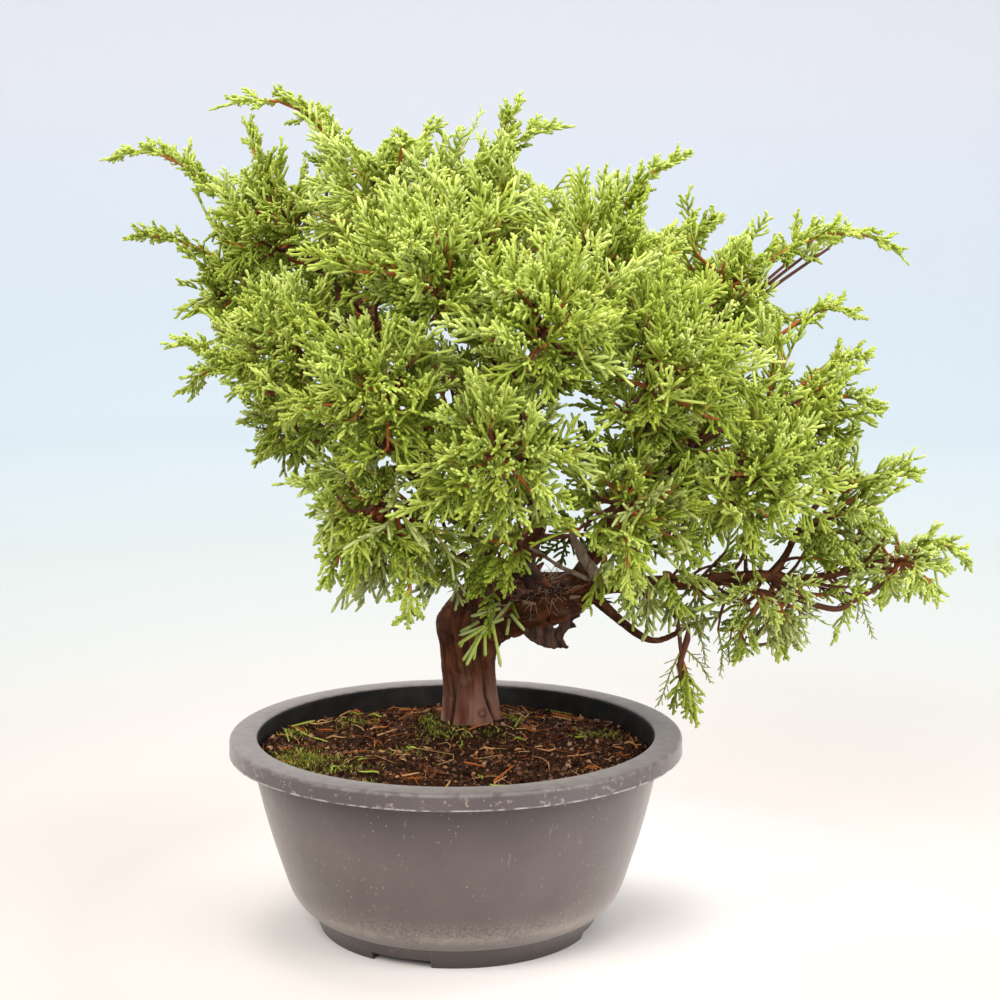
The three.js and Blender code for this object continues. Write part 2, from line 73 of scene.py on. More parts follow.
photo = {
    "side": 1000, "focalPixels": 1960.6, "distance": 800, "height": 17.314, "aim": 40,
    "pitch": 7.972, "yaw": 1.311, "sensor": 36,
}
studio = {
    "floorRadius": 1.9, "sweepRadius": 1.6, "wallTop": 4.2,
    # each lamp's place, what it is turned to, its width, power and colour
    "lamps": [("keyLight", (-0.9, -1.3, 1.35), (0, 0, 0.17), 1.3, 34, (1, 0.98, 0.95)),
              ("fillLight", (1.35, -1.0, 0.7), (0, 0, 0.17), 1.4, 28, (0.95, 0.97, 1)),
              ("topLight", (0.1, 0.2, 1.7), (0, 0, 0.17), 1.6, 36, (1, 1, 1)),
              ("wallLight", (0, 1.2, 2.8), (0, 3.1, 0.3), 1.6, 34, (1, 1, 1))],
    "skyColour": (1.0, 0.98, 0.96), "skyStrength": 1.1,
    # the paper's colour by its distance from the middle of the floor, as a share of paperReach metres:
    # paler round the pot, a painted light that thins the pot's shadow, then a cream to pale blue backdrop
    "paperReach": 4,
    "paperAndLightPool": [(0.021, (0.84, 0.79, 0.745)), (0.026, (0.70, 0.66, 0.62)), (0.033, (0.60, 0.560, 0.522)),
              (0.046, (0.472, 0.438, 0.408)), (0.06, (0.434, 0.402, 0.372)), (0.10, (0.395, 0.380, 0.358)),
              (0.155, (0.378, 0.388, 0.376)), (0.25, (0.382, 0.416, 0.408)), (0.32, (0.413, 0.458, 0.475)),
              (0.415, (0.460, 0.515, 0.545)), (0.525, (0.494, 0.558, 0.60)), (0.63, (0.497, 0.556, 0.602)),
              (0.725, (0.528, 0.572, 0.628)), (0.8, (0.578, 0.585, 0.622))],
}


def eyePlace():
    rise = math.radians(photo["height"])
    return np.array([0, -photo["distance"] * math.cos(rise),
                     photo["aim"] + photo["distance"] * math.sin(rise)])


def makeCamera():
    lens = bpy.data.cameras.new("camera")
    lens.sensor_width = photo["sensor"]
    lens.lens = photo["focalPixels"] / photo["side"] * photo["sensor"]
    lens.clip_start, lens.clip_end = 0.05, 30
    camera = bpy.data.objects.new("camera", lens)
    bpy.context.scene.collection.objects.link(camera)
    camera.location = inPlace(eyePlace())
    camera.rotation_euler = (math.radians(90 - photo["pitch"]), 0, math.radians(-photo["yaw"]))
    bpy.context.scene.camera = camera
    bpy.context.scene.view_settings.view_transform = "Standard"


def softLight(name, place, target, size, power, colour):
    lamp = bpy.data.lights.new(name, "AREA")
    lamp.shape = "DISK"
    lamp.size = size
    lamp.energy = power
    lamp.color = colour
    light = bpy.data.objects.new(name, lamp)
    bpy.context.scene.collection.objects.link(light)
    light.location = place
    light.rotation_euler = (Vector(target) - Vector(place)).to_track_quat("-Z", "Y").to_euler()


def makeStudio():
    bpy.ops.object.select_all(action="DESELECT")
    profile = [(studio["floorRadius"], 0)]
    for i in range(1, 13):
        a = math.radians(90 * i / 12)
        profile.append((studio["floorRadius"] + studio["sweepRadius"] * math.sin(a),
                        studio["sweepRadius"] * (1 - math.cos(a))))
    profile.append((studio["floorRadius"] + studio["sweepRadius"], studio["wallTop"]))
    floor = spunShape("floor", [(0, 0)] + profile, 64)
    floor.data.flip_normals()
    shadeSmooth(floor)
    paint, nodes, link = newMaterial("studioPaper")
    away = nodes.new("ShaderNodeVectorMath")
    away.operation = "LENGTH"
    tint = rampOf(nodes, studio["paperAndLightPool"])
    link(objectPlace(nodes), away.inputs[0])
    link(multiplied(nodes, link, away.outputs["Value"], 1 / studio["paperReach"]), tint.inputs["Fac"])
    link(tint.outputs["Color"], paint.inputs["Base Color"])
    paint.inputs["Roughness"].default_value = 0.9
    paint.inputs["Specular IOR Level"].default_value = 0.1
    giveMaterial(floor, "studioPaper")
    for lamp in studio["lamps"]:
        softLight(*lamp)
    world = bpy.data.worlds.new("world")
    bpy.context.scene.world = world
    world.use_nodes = True
    sky = world.node_tree.nodes["Background"]
    sky.inputs["Color"].default_value = (*studio["skyColour"], 1)
    sky.inputs["Strength"].default_value = studio["skyStrength"]


# Modelling helpers

def onlySelect(piece):
    bpy.ops.object.select_all(action="DESELECT")
    piece.select_set(True)
    bpy.context.view_layer.objects.active = piece


def shadeSmooth(piece, angle=None):
    onlySelect(piece)
    if angle is None:
        bpy.ops.object.shade_smooth()
    else:
        bpy.ops.object.shade_smooth_by_angle(angle=math.radians(angle))


def applyModifiers(piece):
    onlySelect(piece)
    for name in [modifier.name for modifier in piece.modifiers]:
        bpy.ops.object.modifier_apply(modifier=name)


def placeInMesh(piece):
    onlySelect(piece)
    bpy.ops.object.transform_apply(location=True, rotation=True, scale=True)


def settle(piece, material, angle=None, drop=0):
    # a piece drawn in millimetres goes to its place in the frame and gets its finish
    piece.scale = (mm, mm, mm)
    piece.location = (potAxis.x, potAxis.y, -drop * mm)
    placeInMesh(piece)
    shadeSmooth(piece, angle)
    giveMaterial(piece, material)


def drawnLine(name, spots):
    # one point is drawn out from spot to spot, and the line is left selected in edit mode
    bpy.ops.object.select_all(action="DESELECT")
    bpy.ops.mesh.primitive_plane_add(size=0.001)
    piece = bpy.context.object
    piece.name = piece.data.name = name
    bpy.ops.object.mode_set(mode="EDIT")
    bpy.ops.mesh.select_mode(type="VERT")
    bpy.ops.mesh.merge(type="CENTER")
    bpy.ops.mesh.select_all(action="SELECT")
    bpy.ops.transform.translate(value=spots[0])
    for here, there in zip(spots, spots[1:]):
        step = tuple(b - a for a, b in zip(here, there))
        bpy.ops.mesh.extrude_region_move(TRANSFORM_OT_translate={"value": step})
    bpy.ops.mesh.select_all(action="SELECT")
    return piece


def spunShape(name, profile, steps):
    # a profile of radius and height, turned round the Z axis
    piece = drawnLine(name, [(r, 0, z) for r, z in profile])
    bpy.ops.mesh.spin(steps=steps, angle=2 * math.pi, center=(0, 0, 0), axis=(0, 0, 1))
    bpy.ops.mesh.select_all(action="SELECT")
    bpy.ops.mesh.remove_doubles(threshold=1e-6)
    bpy.ops.mesh.normals_make_consistent(inside=False)
    bpy.ops.object.mode_set(mode="OBJECT")
    return piece


def cutOut(piece, cutter):
    placeInMesh(cutter)
    cut = piece.modifiers.new("cut", "BOOLEAN")
    cut.object = cutter
    cut.solver = "EXACT"
    applyModifiers(piece)
    bpy.data.objects.remove(cutter)


def joinedMesh(name, points, faces, tones=None, materials=()):
    # many small things as one mesh of triangles, each with its own plain finish
    mesh = bpy.data.meshes.new(name)
    mesh.vertices.add(len(points))
    mesh.vertices.foreach_set("co", np.asarray(points, np.float32).ravel())
    mesh.loops.add(faces.size)
    mesh.loops.foreach_set("vertex_index", faces.astype(np.int32).ravel())
    mesh.polygons.add(len(faces))
    mesh.polygons.foreach_set("loop_start", np.arange(0, faces.size, 3, dtype=np.int32))
    mesh.polygons.foreach_set("use_smooth", np.ones(len(faces), bool))
    for material in materials:
        mesh.materials.append(bpy.data.materials[material])
    if tones is not None:
        mesh.polygons.foreach_set("material_index", tones.astype(np.int32))
    mesh.update(calc_edges=True)
    mesh.validate()
    piece = bpy.data.objects.new(name, mesh)
    bpy.context.scene.collection.objects.link(piece)
    return piece


def gathered(parts):
    # several meshes as one: their points, their faces and the finish of each face
    points, faces, kinds = zip(*parts)
    shifts = np.cumsum([0] + [len(p) for p in points[:-1]])
    faces = [f + shift for f, shift in zip(faces, shifts)]
    return np.concatenate(points), np.concatenate(faces), np.concatenate(kinds)


def finish(piece, slot, *nodes):
    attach(piece, "root")
    if nodes:
        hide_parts(*nodes)
    return piece


# Material helpers

def newMaterial(name):
    material = bpy.data.materials.new(name)
    material.use_nodes = True
    nodes = material.node_tree.nodes
    return nodes["Principled BSDF"], nodes, material.node_tree.links.new


def plainFinish(name, colour, rough, specular=0.5):
    shader = newMaterial(name)[0]
    shader.inputs["Base Color"].default_value = (*colour, 1)
    shader.inputs["Roughness"].default_value = rough
    shader.inputs["Specular IOR Level"].default_value = specular


def giveMaterial(piece, name):
    piece.data.materials.clear()
    piece.data.materials.append(bpy.data.materials[name])


def objectPlace(nodes):
    return nodes.new("ShaderNodeTexCoord").outputs["Object"]


def rampOf(nodes, stops):
    ramp = nodes.new("ShaderNodeValToRGB")
    bar = ramp.color_ramp.elements
    bar[0].position, bar[0].color = stops[0][0], (*stops[0][1], 1)
    bar[1].position, bar[1].color = stops[-1][0], (*stops[-1][1], 1)
    for place, colour in stops[1:-1]:
        stop = bar.new(place)
        stop.color = (*colour, 1)
    return ramp


def mixOf(nodes, link, share, first, second):
    mix = nodes.new("ShaderNodeMix")
    mix.data_type = "RGBA"
    for value, socket in ((share, mix.inputs["Factor"]), (first, mix.inputs["A"]),
                          (second, mix.inputs["B"])):
        if isinstance(value, bpy.types.NodeSocket):
            link(value, socket)
        else:
            socket.default_value = value if isinstance(value, float) else (*value, 1)
    return mix.outputs["Result"]


def newGroup(name, inputs, output):
    group = bpy.data.node_groups.new(name, "ShaderNodeTree")
    group.interface.new_socket("Place", in_out="INPUT", socket_type="NodeSocketVector")
    for label, value in inputs:
        socket = group.interface.new_socket(label, in_out="INPUT", socket_type="NodeSocketFloat")
        socket.default_value = value
    group.interface.new_socket(output, in_out="OUTPUT", socket_type="NodeSocketFloat")
    ends = group.nodes.new("NodeGroupInput"), group.nodes.new("NodeGroupOutput")
    return group, group.nodes, group.links.new, ends[0].outputs, ends[1].inputs


def groupOf(nodes, link, name, place, **values):
    node = nodes.new("ShaderNodeGroup")
    node.node_tree = bpy.data.node_groups[name]
    link(place, node.inputs["Place"])
    for label, value in values.items():
        node.inputs[label].default_value = value
    return node.outputs[0]


def makeEffects():
    # patchy: soft patches between Low and High of a noise
    group, nodes, link, given, put = newGroup(
        "patchy", [("Scale", 100), ("Detail", 4), ("Low", 0.45), ("High", 0.6)], "Mask")
    cloud = nodes.new("ShaderNodeTexNoise")
    span = nodes.new("ShaderNodeMapRange")
    span.interpolation_type = "SMOOTHSTEP"
    link(given["Place"], cloud.inputs["Vector"])
    link(given["Scale"], cloud.inputs["Scale"])
    link(given["Detail"], cloud.inputs["Detail"])
    link(given["Low"], span.inputs["From Min"])
    link(given["High"], span.inputs["From Max"])
    link(cloud.outputs[0], span.inputs["Value"])
    link(span.outputs[0], put["Mask"])
    # speckle: small round specks, fewer as Size falls
    group, nodes, link, given, put = newGroup("speckle", [("Scale", 200), ("Size", 0.12)], "Mask")
    cells = nodes.new("ShaderNodeTexVoronoi")
    under = nodes.new("ShaderNodeMath")
    under.operation = "LESS_THAN"
    link(given["Place"], cells.inputs["Vector"])
    link(given["Scale"], cells.inputs["Scale"])
    link(cells.outputs["Distance"], under.inputs[0])
    link(given["Size"], under.inputs[1])
    link(under.outputs[0], put["Mask"])
    # band: 1 at a height, fading to 0 over Spread above and below it
    group, nodes, link, given, put = newGroup("band", [("Height", 0.0), ("Spread", 0.004)], "Mask")
    apart = nodes.new("ShaderNodeSeparateXYZ")
    away = nodes.new("ShaderNodeMath")
    away.operation = "SUBTRACT"
    size = nodes.new("ShaderNodeMath")
    size.operation = "ABSOLUTE"
    span = nodes.new("ShaderNodeMapRange")
    span.interpolation_type = "SMOOTHSTEP"
    span.inputs["To Min"].default_value, span.inputs["To Max"].default_value = 1, 0
    link(given["Place"], apart.inputs[0])
    link(apart.outputs["Z"], away.inputs[0])
    link(given["Height"], away.inputs[1])
    link(away.outputs[0], size.inputs[0])
    link(size.outputs[0], span.inputs["Value"])
    link(given["Spread"], span.inputs["From Max"])
    link(span.outputs[0], put["Mask"])


def multiplied(nodes, link, *values):
    result = values[0]
    for value in values[1:]:
        node = nodes.new("ShaderNodeMath")
        node.operation = "MULTIPLY"
        for i, one in enumerate((result, value)):
            if isinstance(one, bpy.types.NodeSocket):
                link(one, node.inputs[i])
            else:
                node.inputs[i].default_value = one
        result = node.outputs[0]
    return result


def painted(nodes, link, colour, paint, *masks):
    # paint laid over a colour where the masks, multiplied, let it show
    return mixOf(nodes, link, multiplied(nodes, link, *masks), colour, paint)


def stretched(nodes, link, place, tall):
    mapping = nodes.new("ShaderNodeMapping")
    mapping.inputs["Scale"].default_value = (1, 1, tall)
    link(place, mapping.inputs["Vector"])
    return mapping.outputs[0]


def bumpOf(nodes, link, height, distance, strength=1.0, under=None):
    bump = nodes.new("ShaderNodeBump")
    bump.inputs["Strength"].default_value = strength
    bump.inputs["Distance"].default_value = distance
    link(height, bump.inputs["Height"])
    if under is not None:
        link(under, bump.inputs["Normal"])
    return bump.outputs[0]


def noiseOf(nodes, link, place, scale, detail=3.0, rough=0.5):
    cloud = nodes.new("ShaderNodeTexNoise")
    link(place, cloud.inputs["Vector"])
    cloud.inputs["Scale"].default_value = scale
    cloud.inputs["Detail"].default_value = detail
    cloud.inputs["Roughness"].default_value = rough
    return cloud.outputs[0]


# The pot, turned from its profile

pot = {
    "height": 78.3, "rim": 90, "band": 6.3, "opening": 78.8, "rounding": 1.5, "underRim": 81.5,
    "wall": 2.5, "belly": 1.1, "floor": 3, "recess": 3.7, "footRadius": 55, "footInside": 49,
    "footHeight": 8, "footTop": 57.8, "shoulderRadius": 67.7, "shoulderHeight": 20,
    "shoulderCorner": (64.8, 11.4), "insideCorner": (61, 12.5), "steps": 128,
    "notch": 3.3, "notchAngles": (-113, -15, 67, 165), "notchWidth": 27, "notchDepth": 14,
    "smoothTo": 38,
}


def wallRadius(z):
    share = (z - pot["shoulderHeight"]) / (pot["height"] - pot["band"] - pot["shoulderHeight"])
    straight = pot["shoulderRadius"] + (pot["underRim"] - pot["shoulderRadius"]) * share
    return straight + pot["belly"] * math.sin(math.pi * share)


def arc(middle, radius, first, last, steps):
    angles = np.radians(np.linspace(first, last, steps + 1))
    return [(middle[0] + radius * math.cos(a), middle[1] + radius * math.sin(a)) for a in angles]


def bezier(start, control, end, steps):
    spots = []
    for t in np.linspace(0, 1, steps + 1):
        spots.append(tuple((1 - t) ** 2 * start[k] + 2 * t * (1 - t) * control[k] + t * t * end[k]
                           for k in (0, 1)))
    return spots


def makePot():
    under = pot["height"] - pot["band"]
    foot = (pot["footTop"], pot["footHeight"])
    shoulder = (pot["shoulderRadius"], pot["shoulderHeight"])
    r = pot["rounding"]
    heights = np.linspace(pot["shoulderHeight"], under, 9)[1:-1]
    profile = [(0, pot["recess"]), (pot["footInside"] - 0.4, pot["recess"]),
               (pot["footInside"], pot["recess"] - 0.4), (pot["footInside"], 0.3),
               (pot["footInside"] + 0.3, 0), (pot["footRadius"] - 0.5, 0), (pot["footRadius"], 0.5)]
    profile += [(pot["footTop"] - 0.2, pot["footHeight"] - 0.5)]
    profile += bezier(foot, pot["shoulderCorner"], shoulder, 9)
    profile += [(wallRadius(z), z) for z in heights]
    profile += [(pot["underRim"] - 0.3, under - 0.5), (pot["underRim"] + 0.4, under)]
    profile += [(pot["rim"] - 0.5, under - 0.25), (pot["rim"] + 0.15, under), (pot["rim"], under + 0.5)]
    profile += arc((pot["rim"] - r, pot["height"] - r), r, 0, 90, 4)
    profile += arc((pot["opening"] + r, pot["height"] - r), r, 90, 180, 4)
    profile += [(wallRadius(z) - pot["wall"], z) for z in (68, 55, 40, 22)]
    profile += [pot["insideCorner"], (pot["footRadius"], pot["recess"] + pot["floor"]),
                (0, pot["recess"] + pot["floor"])]
    body = spunShape("pot_body", profile, pot["steps"])
    middle = (pot["footInside"] + pot["footRadius"]) / 2
    for angle in pot["notchAngles"]:
        turn = math.radians(angle)
        bpy.ops.object.select_all(action="DESELECT")
        bpy.ops.mesh.primitive_cube_add(size=1)
        cutter = bpy.context.object
        cutter.dimensions = (pot["notchDepth"], 2 * middle * math.sin(math.radians(pot["notchWidth"] / 2)),
                             2 * pot["notch"])
        cutter.rotation_euler.z = turn
        cutter.location = (middle * math.cos(turn), middle * math.sin(turn), 0)
        cutOut(body, cutter)
    settle(body, "potPlastic", pot["smoothTo"])
    # the inner wall takes the near-black finish that paints the shade inside the pot
    body.data.materials.append(bpy.data.materials["potInsideShade"])
    for face in body.data.polygons:
        spot = face.center - Vector((potAxis.x, potAxis.y, 0))
        inward = Vector((spot.x, spot.y, 0)).dot(face.normal) < 0
        if inward and spot.z > pot["recess"] * mm and spot.xy.length < (pot["opening"] + 0.3) * mm:
            face.material_index = 1
    print("pot:", len(body.data.polygons), "faces")
    return finish(body, "pot", "pot")


# the pot's finish: rings of dirt and wear, and a painted highlight along the rim's top edge, each with its
# height, spread, mask, strength and colour
potRings = [(0.016, 0.0095, "dust", 0.5, (0.33, 0.28, 0.235)),
            (0.0145, 0.0035, "cloudy", 0.45, (0.36, 0.30, 0.24)),
            (0.0735, 0.007, "patches", 0.42, (0.38, 0.30, 0.24)),
            (0.0722, 0.0005, "broken", 0.6, (0.50, 0.47, 0.43)),
            # painted highlight along the rim's top edge
            (0.0778, 0.0014, "broken", 0.3, (0.30, 0.27, 0.245))]
# each mask is a noise: its scale, its detail, and the values where it starts and is full
potMasks = {"dust": (900, 6, 0.28, 0.76), "cloudy": (90, 5, 0.3, 0.7), "patches": (300, 7, 0.58, 0.66),
            "broken": (240, 8, 0.36, 0.6)}


def patchyOf(nodes, link, place, scale, detail, low, high):
    return groupOf(nodes, link, "patchy", place, Scale=scale, Detail=detail, Low=low, High=high)


def makePotPlastic():
    plastic, nodes, link = newMaterial("potPlastic")
    place = objectPlace(nodes)
    base = rampOf(nodes, [(0.3, (0.086, 0.062, 0.057)), (0.7, (0.124, 0.092, 0.086))])
    link(noiseOf(nodes, link, place, 28, 5), base.inputs["Fac"])
    # painted shade: the wall is darker under the rim
    underRimShade = groupOf(nodes, link, "band", place, Height=0.07, Spread=0.026)
    colour = painted(nodes, link, base.outputs["Color"], (0.040, 0.031, 0.031), underRimShade, 0.42)
    masks = {name: patchyOf(nodes, link, place, *values) for name, values in potMasks.items()}
    for height, spread, mask, share, paint in potRings:
        ring = groupOf(nodes, link, "band", place, Height=height, Spread=spread)
        colour = painted(nodes, link, colour, paint, ring, masks[mask], share)
    scuffs = patchyOf(nodes, link, stretched(nodes, link, place, 0.22), 420, 5, 0.66, 0.76)
    colour = painted(nodes, link, colour, (0.30, 0.26, 0.23), scuffs, 0.35)
    spots = groupOf(nodes, link, "speckle", place, Scale=400, Size=0.12)
    some = patchyOf(nodes, link, place, 45, 3, 0.46, 0.64)
    colour = painted(nodes, link, colour, (0.42, 0.34, 0.25), spots, some, 0.7)
    # painted sheen: paler at grazing angles, toward the pot's outline
    facing = nodes.new("ShaderNodeLayerWeight").outputs["Facing"]
    colour = painted(nodes, link, colour, (0.45, 0.41, 0.375), facing, facing, facing, 0.9)
    # painted shade: darker at the foot, under the shoulder
    foot = groupOf(nodes, link, "band", place, Height=0.0, Spread=0.0155)
    colour = painted(nodes, link, colour, (0.028, 0.024, 0.020), foot, 0.85)
    link(colour, plastic.inputs["Base Color"])
    gloss = nodes.new("ShaderNodeMapRange")
    gloss.inputs["To Min"].default_value, gloss.inputs["To Max"].default_value = 0.42, 0.62
    link(noiseOf(nodes, link, place, 160, 4), gloss.inputs["Value"])
    link(gloss.outputs[0], plastic.inputs["Roughness"])
    coarse = bumpOf(nodes, link, noiseOf(nodes, link, place, 260, 3, 0.6), 0.0006, 0.5)
    fine = noiseOf(nodes, link, place, 1100, 3, 0.6)
    link(bumpOf(nodes, link, fine, 0.0002, 0.35, coarse), plastic.inputs["Normal"])


# painted shade: a near-black finish for the pot's inner wall, which lies in shade
def makePotInsideShade():
    inside, nodes, link = newMaterial("potInsideShade")
    base = rampOf(nodes, [(0.35, (0.006, 0.005, 0.004)), (0.7, (0.018, 0.015, 0.012))])
    link(noiseOf(nodes, link, objectPlace(nodes), 140, 5), base.inputs["Fac"])
    link(base.outputs["Color"], inside.inputs["Base Color"])
    inside.inputs["Roughness"].default_value = 0.5
    inside.inputs["Specular IOR Level"].default_value = 0.25


# Curves through points, as the limbs follow them

def lineThrough(points, steps=48):
    # centripetal, with a point added past each end
    points = np.asarray(points, float)
    ends = [2 * points[0] - points[1], *points, 2 * points[-1] - points[-2]]
    line = []
    for p0, p1, p2, p3 in zip(ends, ends[1:], ends[2:], ends[3:]):
        d0, d1, d2 = (max(np.linalg.norm(b - a), 1e-8) ** 0.5 for a, b in ((p0, p1), (p1, p2), (p2, p3)))
        m1 = ((p1 - p0) / d0 - (p2 - p0) / (d0 + d1) + (p2 - p1) / d1) * d1
        m2 = ((p2 - p1) / d1 - (p3 - p1) / (d1 + d2) + (p3 - p2) / d2) * d1
        for t in np.arange(steps) / steps:
            line.append((2 * t ** 3 - 3 * t * t + 1) * p1 + (t ** 3 - 2 * t * t + t) * m1
                        + (3 * t * t - 2 * t ** 3) * p2 + (t ** 3 - t * t) * m2)
    line.append(points[-1])
    line = np.array(line)
    far = np.concatenate([[0], np.cumsum(np.linalg.norm(np.diff(line, axis=0), axis=1))])
    return {"line": line, "share": far / far[-1], "length": far[-1]}


def pointOn(curve, share):
    return np.stack([np.interp(share, curve["share"], curve["line"][:, k]) for k in range(3)], -1)


def wayOn(curve, share):
    return unit(pointOn(curve, min(share + 0.01, 1)) - pointOn(curve, max(share - 0.01, 0)))


def unit(vector):
    return vector / np.maximum(np.linalg.norm(vector, axis=-1, keepdims=True), 1e-9)


def squareTo(vector, axis):
    return unit(vector - np.sum(vector * axis, -1, keepdims=True) * axis)


# The tree's own measures, as the parts were made

trunk = {
    "ground": 77.2,
    "line": [[6.4, 26, 68], [5.8, 26, 90], [4.8, 26, 102], [6.0, 25.4, 115], [13, 23.6, 124.5],
             [25, 21, 128.6], [37, 18, 130], [48, 16, 131.6], [58, 14, 134]],
    "radii": [12.2, 11.7, 10.9, 10.9, 11.5, 12.6, 12.9, 11.8, 9.9, 8.4, 6.8, 5],
}
boughs = {
    "top_crest": ("trunk", 0.69, 4.6, [[29, 22, 146], [33, 24, 158], [28, 26, 188], [20, 28, 216]]),
    "left_front": ("trunk", 0.58, 3.6, [[6, 12, 159], [-2, 6, 164], [-14, 1, 177], [-34, -6, 203]]),
    "right_tip": ("trunk", 1, 3.6, [[76, 8, 136], [97, 2, 138], [121, 0, 140.5], [138, 2, 138.5]]),
    "right": ("trunk", 0.88, 3.8, [[55, 11, 146], [70, 1, 161], [80, -7, 178], [95, -8, 195]]),
    "hanging": ("trunk", 0.93, 2.2, [[60, 10, 122], [66, 5, 116.5], [76, 2, 114]]),
    "top_mid": ("top_crest", 0.76, 2.4, []),
    "top_left": ("top_crest", 0.6, 3, [[-12, 38, 222]]),
    "front_high": ("top_crest", 0.71, 2.4, []),
    "top_right": ("top_crest", 0.62, 2.6, []),
    "back_top": ("top_crest", 0.5, 2.4, []),
    "front_mid": ("top_crest", 0.36, 2.8, []),
    "back_low": ("top_crest", 0.3, 2.4, []),
    "front_low": ("front_mid", 0.4, 2, []),
    "left_high": ("top_left", 0.62, 2, []),
    "back_left": ("top_left", 0.4, 2.2, []),
    "low_front": ("left_front", 0.14, 1.8, []),
    "front_left": ("left_front", 0.5, 2.2, []),
    "low_left": ("left_front", 0.34, 2.2, []),
    "left_low": ("left_front", 0.72, 1.8, []),
    "right_under": ("right_tip", 0.42, 1.8, []),
    "right_low": ("right_tip", 0.6, 2, []),
    "low_mid": ("right", 0.26, 2, []),
    "back_right": ("right", 0.2, 2.6, [[78, 36, 196]]),
    "front_right": ("right", 0.4, 2.4, []),
    "right_mid": ("right", 0.6, 2, []),
    "right_high": ("right", 0.5, 2.2, []),
    "back_low_right": ("back_right", 0.46, 2, []),
}
# heart, reach, long shoots (azimuth, elevation, length), and how much its sprays lean upward
masses = {
    "top_left": ([-73, 45, 275], [34, 34, 25],
                 [[180, 23, 78], [-170, 62, 59], [154, 75, 44], [-42, 70, 57]], 0.5),
    "left_high": ([-83, 52, 248], [28, 34, 24], [[174, 24, 60]], 0.2),
    "left_front": ([-59, -15, 230], [34, 34, 26], [[180, -2, 52], [-161, -16, 48]], 0.3),
    "left_low": ([-63, 45, 199], [27, 32, 18], [], -0.1),
    "top_mid": ([-23, 5, 286], [36, 36, 25], [[26, 54, 39], [-86, 30, 44]], 0.7),
    "top_crest": ([13, 24, 276], [31, 36, 29], [[-40, 74, 55], [0, 49, 54]], 0.7),
    "front_high": ([-6, -56, 258], [38, 34, 31], [[-104, 15, 48], [-165, 5, 48]], 0.6),
    "front_left": ([-24, -65, 219], [38, 34, 30], [[-172, -20, 40]], 0.4),
    "low_left": ([-25, -45, 177], [32, 34, 25], [[-164, -55, 40], [-58, -74, 48]], -0.35),
    "front_mid": ([31, -74, 240], [40, 32, 32], [[-112, 25, 39]], 0.6),
    "front_low": ([16, -80, 199], [34, 30, 27], [], 0.3),
    "top_right": ([55, -2, 262], [38, 38, 28], [[-15, 50, 59]], 0.7),
    "right_high": ([105, 26, 250], [32, 36, 26], [[6, 10, 79], [60, 55, 42]], 0.6),
    "front_right": ([70, -60, 224], [40, 36, 33], [[-80, 57, 45]], 0.6),
    "right": ([131, 0, 208], [31, 36, 30], [[23, 38, 48], [-8, 24, 38], [-8, -6, 36]], 0.5),
    "low_mid": ([60, -60, 178], [34, 32, 28], [[-90, -58, 37]], 0.2),
    "right_mid": ([106, -40, 185], [34, 34, 29], [], 0.4),
    "right_low": ([146, 10, 169], [31, 36, 22], [[-15, 15, 40]], 0.3),
    "right_tip": ([177, 15, 144], [23, 28, 13], [[9, -2, 34], [-47, -34, 25]], 0.0),
    "right_under": ([126, 5, 132], [36, 30, 14], [[-161, -59, 30], [45, -74, 25], [-7, -10, 34]], -0.3),
    "low_front": ([23, -45, 162], [19, 20, 18], [[-120, -65, 46]], -0.4),
    "back_left": ([-42, 92, 243], [42, 36, 34], [[135, 20, 58], [125, 67, 56]], 0.5),
    "back_top": ([20, 95, 258], [42, 34, 34], [[110, 60, 58], [51, 40, 54]], 0.6),
    "back_right": ([86, 88, 236], [42, 36, 34], [[52, 16, 62], [70, 47, 56]], 0.5),
    "back_low": ([0, 84, 198], [40, 36, 28], [[132, -30, 46]], 0.1),
    "back_low_right": ([98, 78, 184], [42, 38, 28], [[50, 6, 60]], 0.1),
    "hanging": ([89, 0, 100], [13, 13, 15], [[-153, -53, 15], [34, -69, 17]], -1.0),
}
openMasses = ("right_tip", "right_under", "low_front", "hanging")
crown = {
    "middle": [30, 20, 205], "coreShare": 0.8, "openShare": 0.4, "stem": 1.5, "fill": 1.3,
    "facing": -0.3, "twigReach": 0.6, "twig": 1.0, "leafRadius": 0.7,
    "sprayShares": (1.0, 0.84, 0.66, 0.48, 0.3), "sprayShare": 0.58, "sprayLeast": 14, "sprayMost": 25,
    "slack": 4, "seed": 11,
}
# how many ways each mass is grown, its share of long cords and of young needles, its change of tone,
# and whether its long shoots are grown here. The change of tone, and pale, the green of its long cords,
# paint light
# and shade: raised where a mass is lit from behind, lowered where it stands in shade
habit = {"directions": 28, "long": 0.0, "young": 0.02, "tone": 0.0, "pale": 9, "shoots": True}
habits = {
    "top_left": {"tone": -0.3}, "left_high": {"tone": -0.4}, "left_front": {"tone": 0.4},
    "left_low": {"directions": 24, "long": 0.12, "young": 0.12, "tone": 0.4},
    "low_left": {"directions": 28, "long": 0.3, "young": 0.06, "tone": 1.3, "pale": 10},
    "low_front": {"directions": 7, "long": 0.2, "tone": 0.9, "shoots": False},
    "front_low": {"long": 0.06, "tone": 1.0}, "front_mid": {"tone": 0.2}, "front_left": {"tone": 0.2},
    "low_mid": {"directions": 21, "long": 0.3, "young": 0.04, "tone": 0.5}, "back_low": {"long": 0.1},
    "right": {"tone": 0.3}, "right_high": {"tone": 0.1}, "front_right": {"tone": 0.1},
    "right_mid": {"directions": 30, "tone": 1.0}, "right_low": {"directions": 24, "long": 0.1, "tone": 1.8},
    "right_tip": {"directions": 15, "long": 0.15, "tone": 4.2, "pale": 10},
    "right_under": {"directions": 11, "long": 0.35, "young": 0.5, "tone": 3.8, "pale": 10},
    "hanging": {"directions": 0, "shoots": False},
}
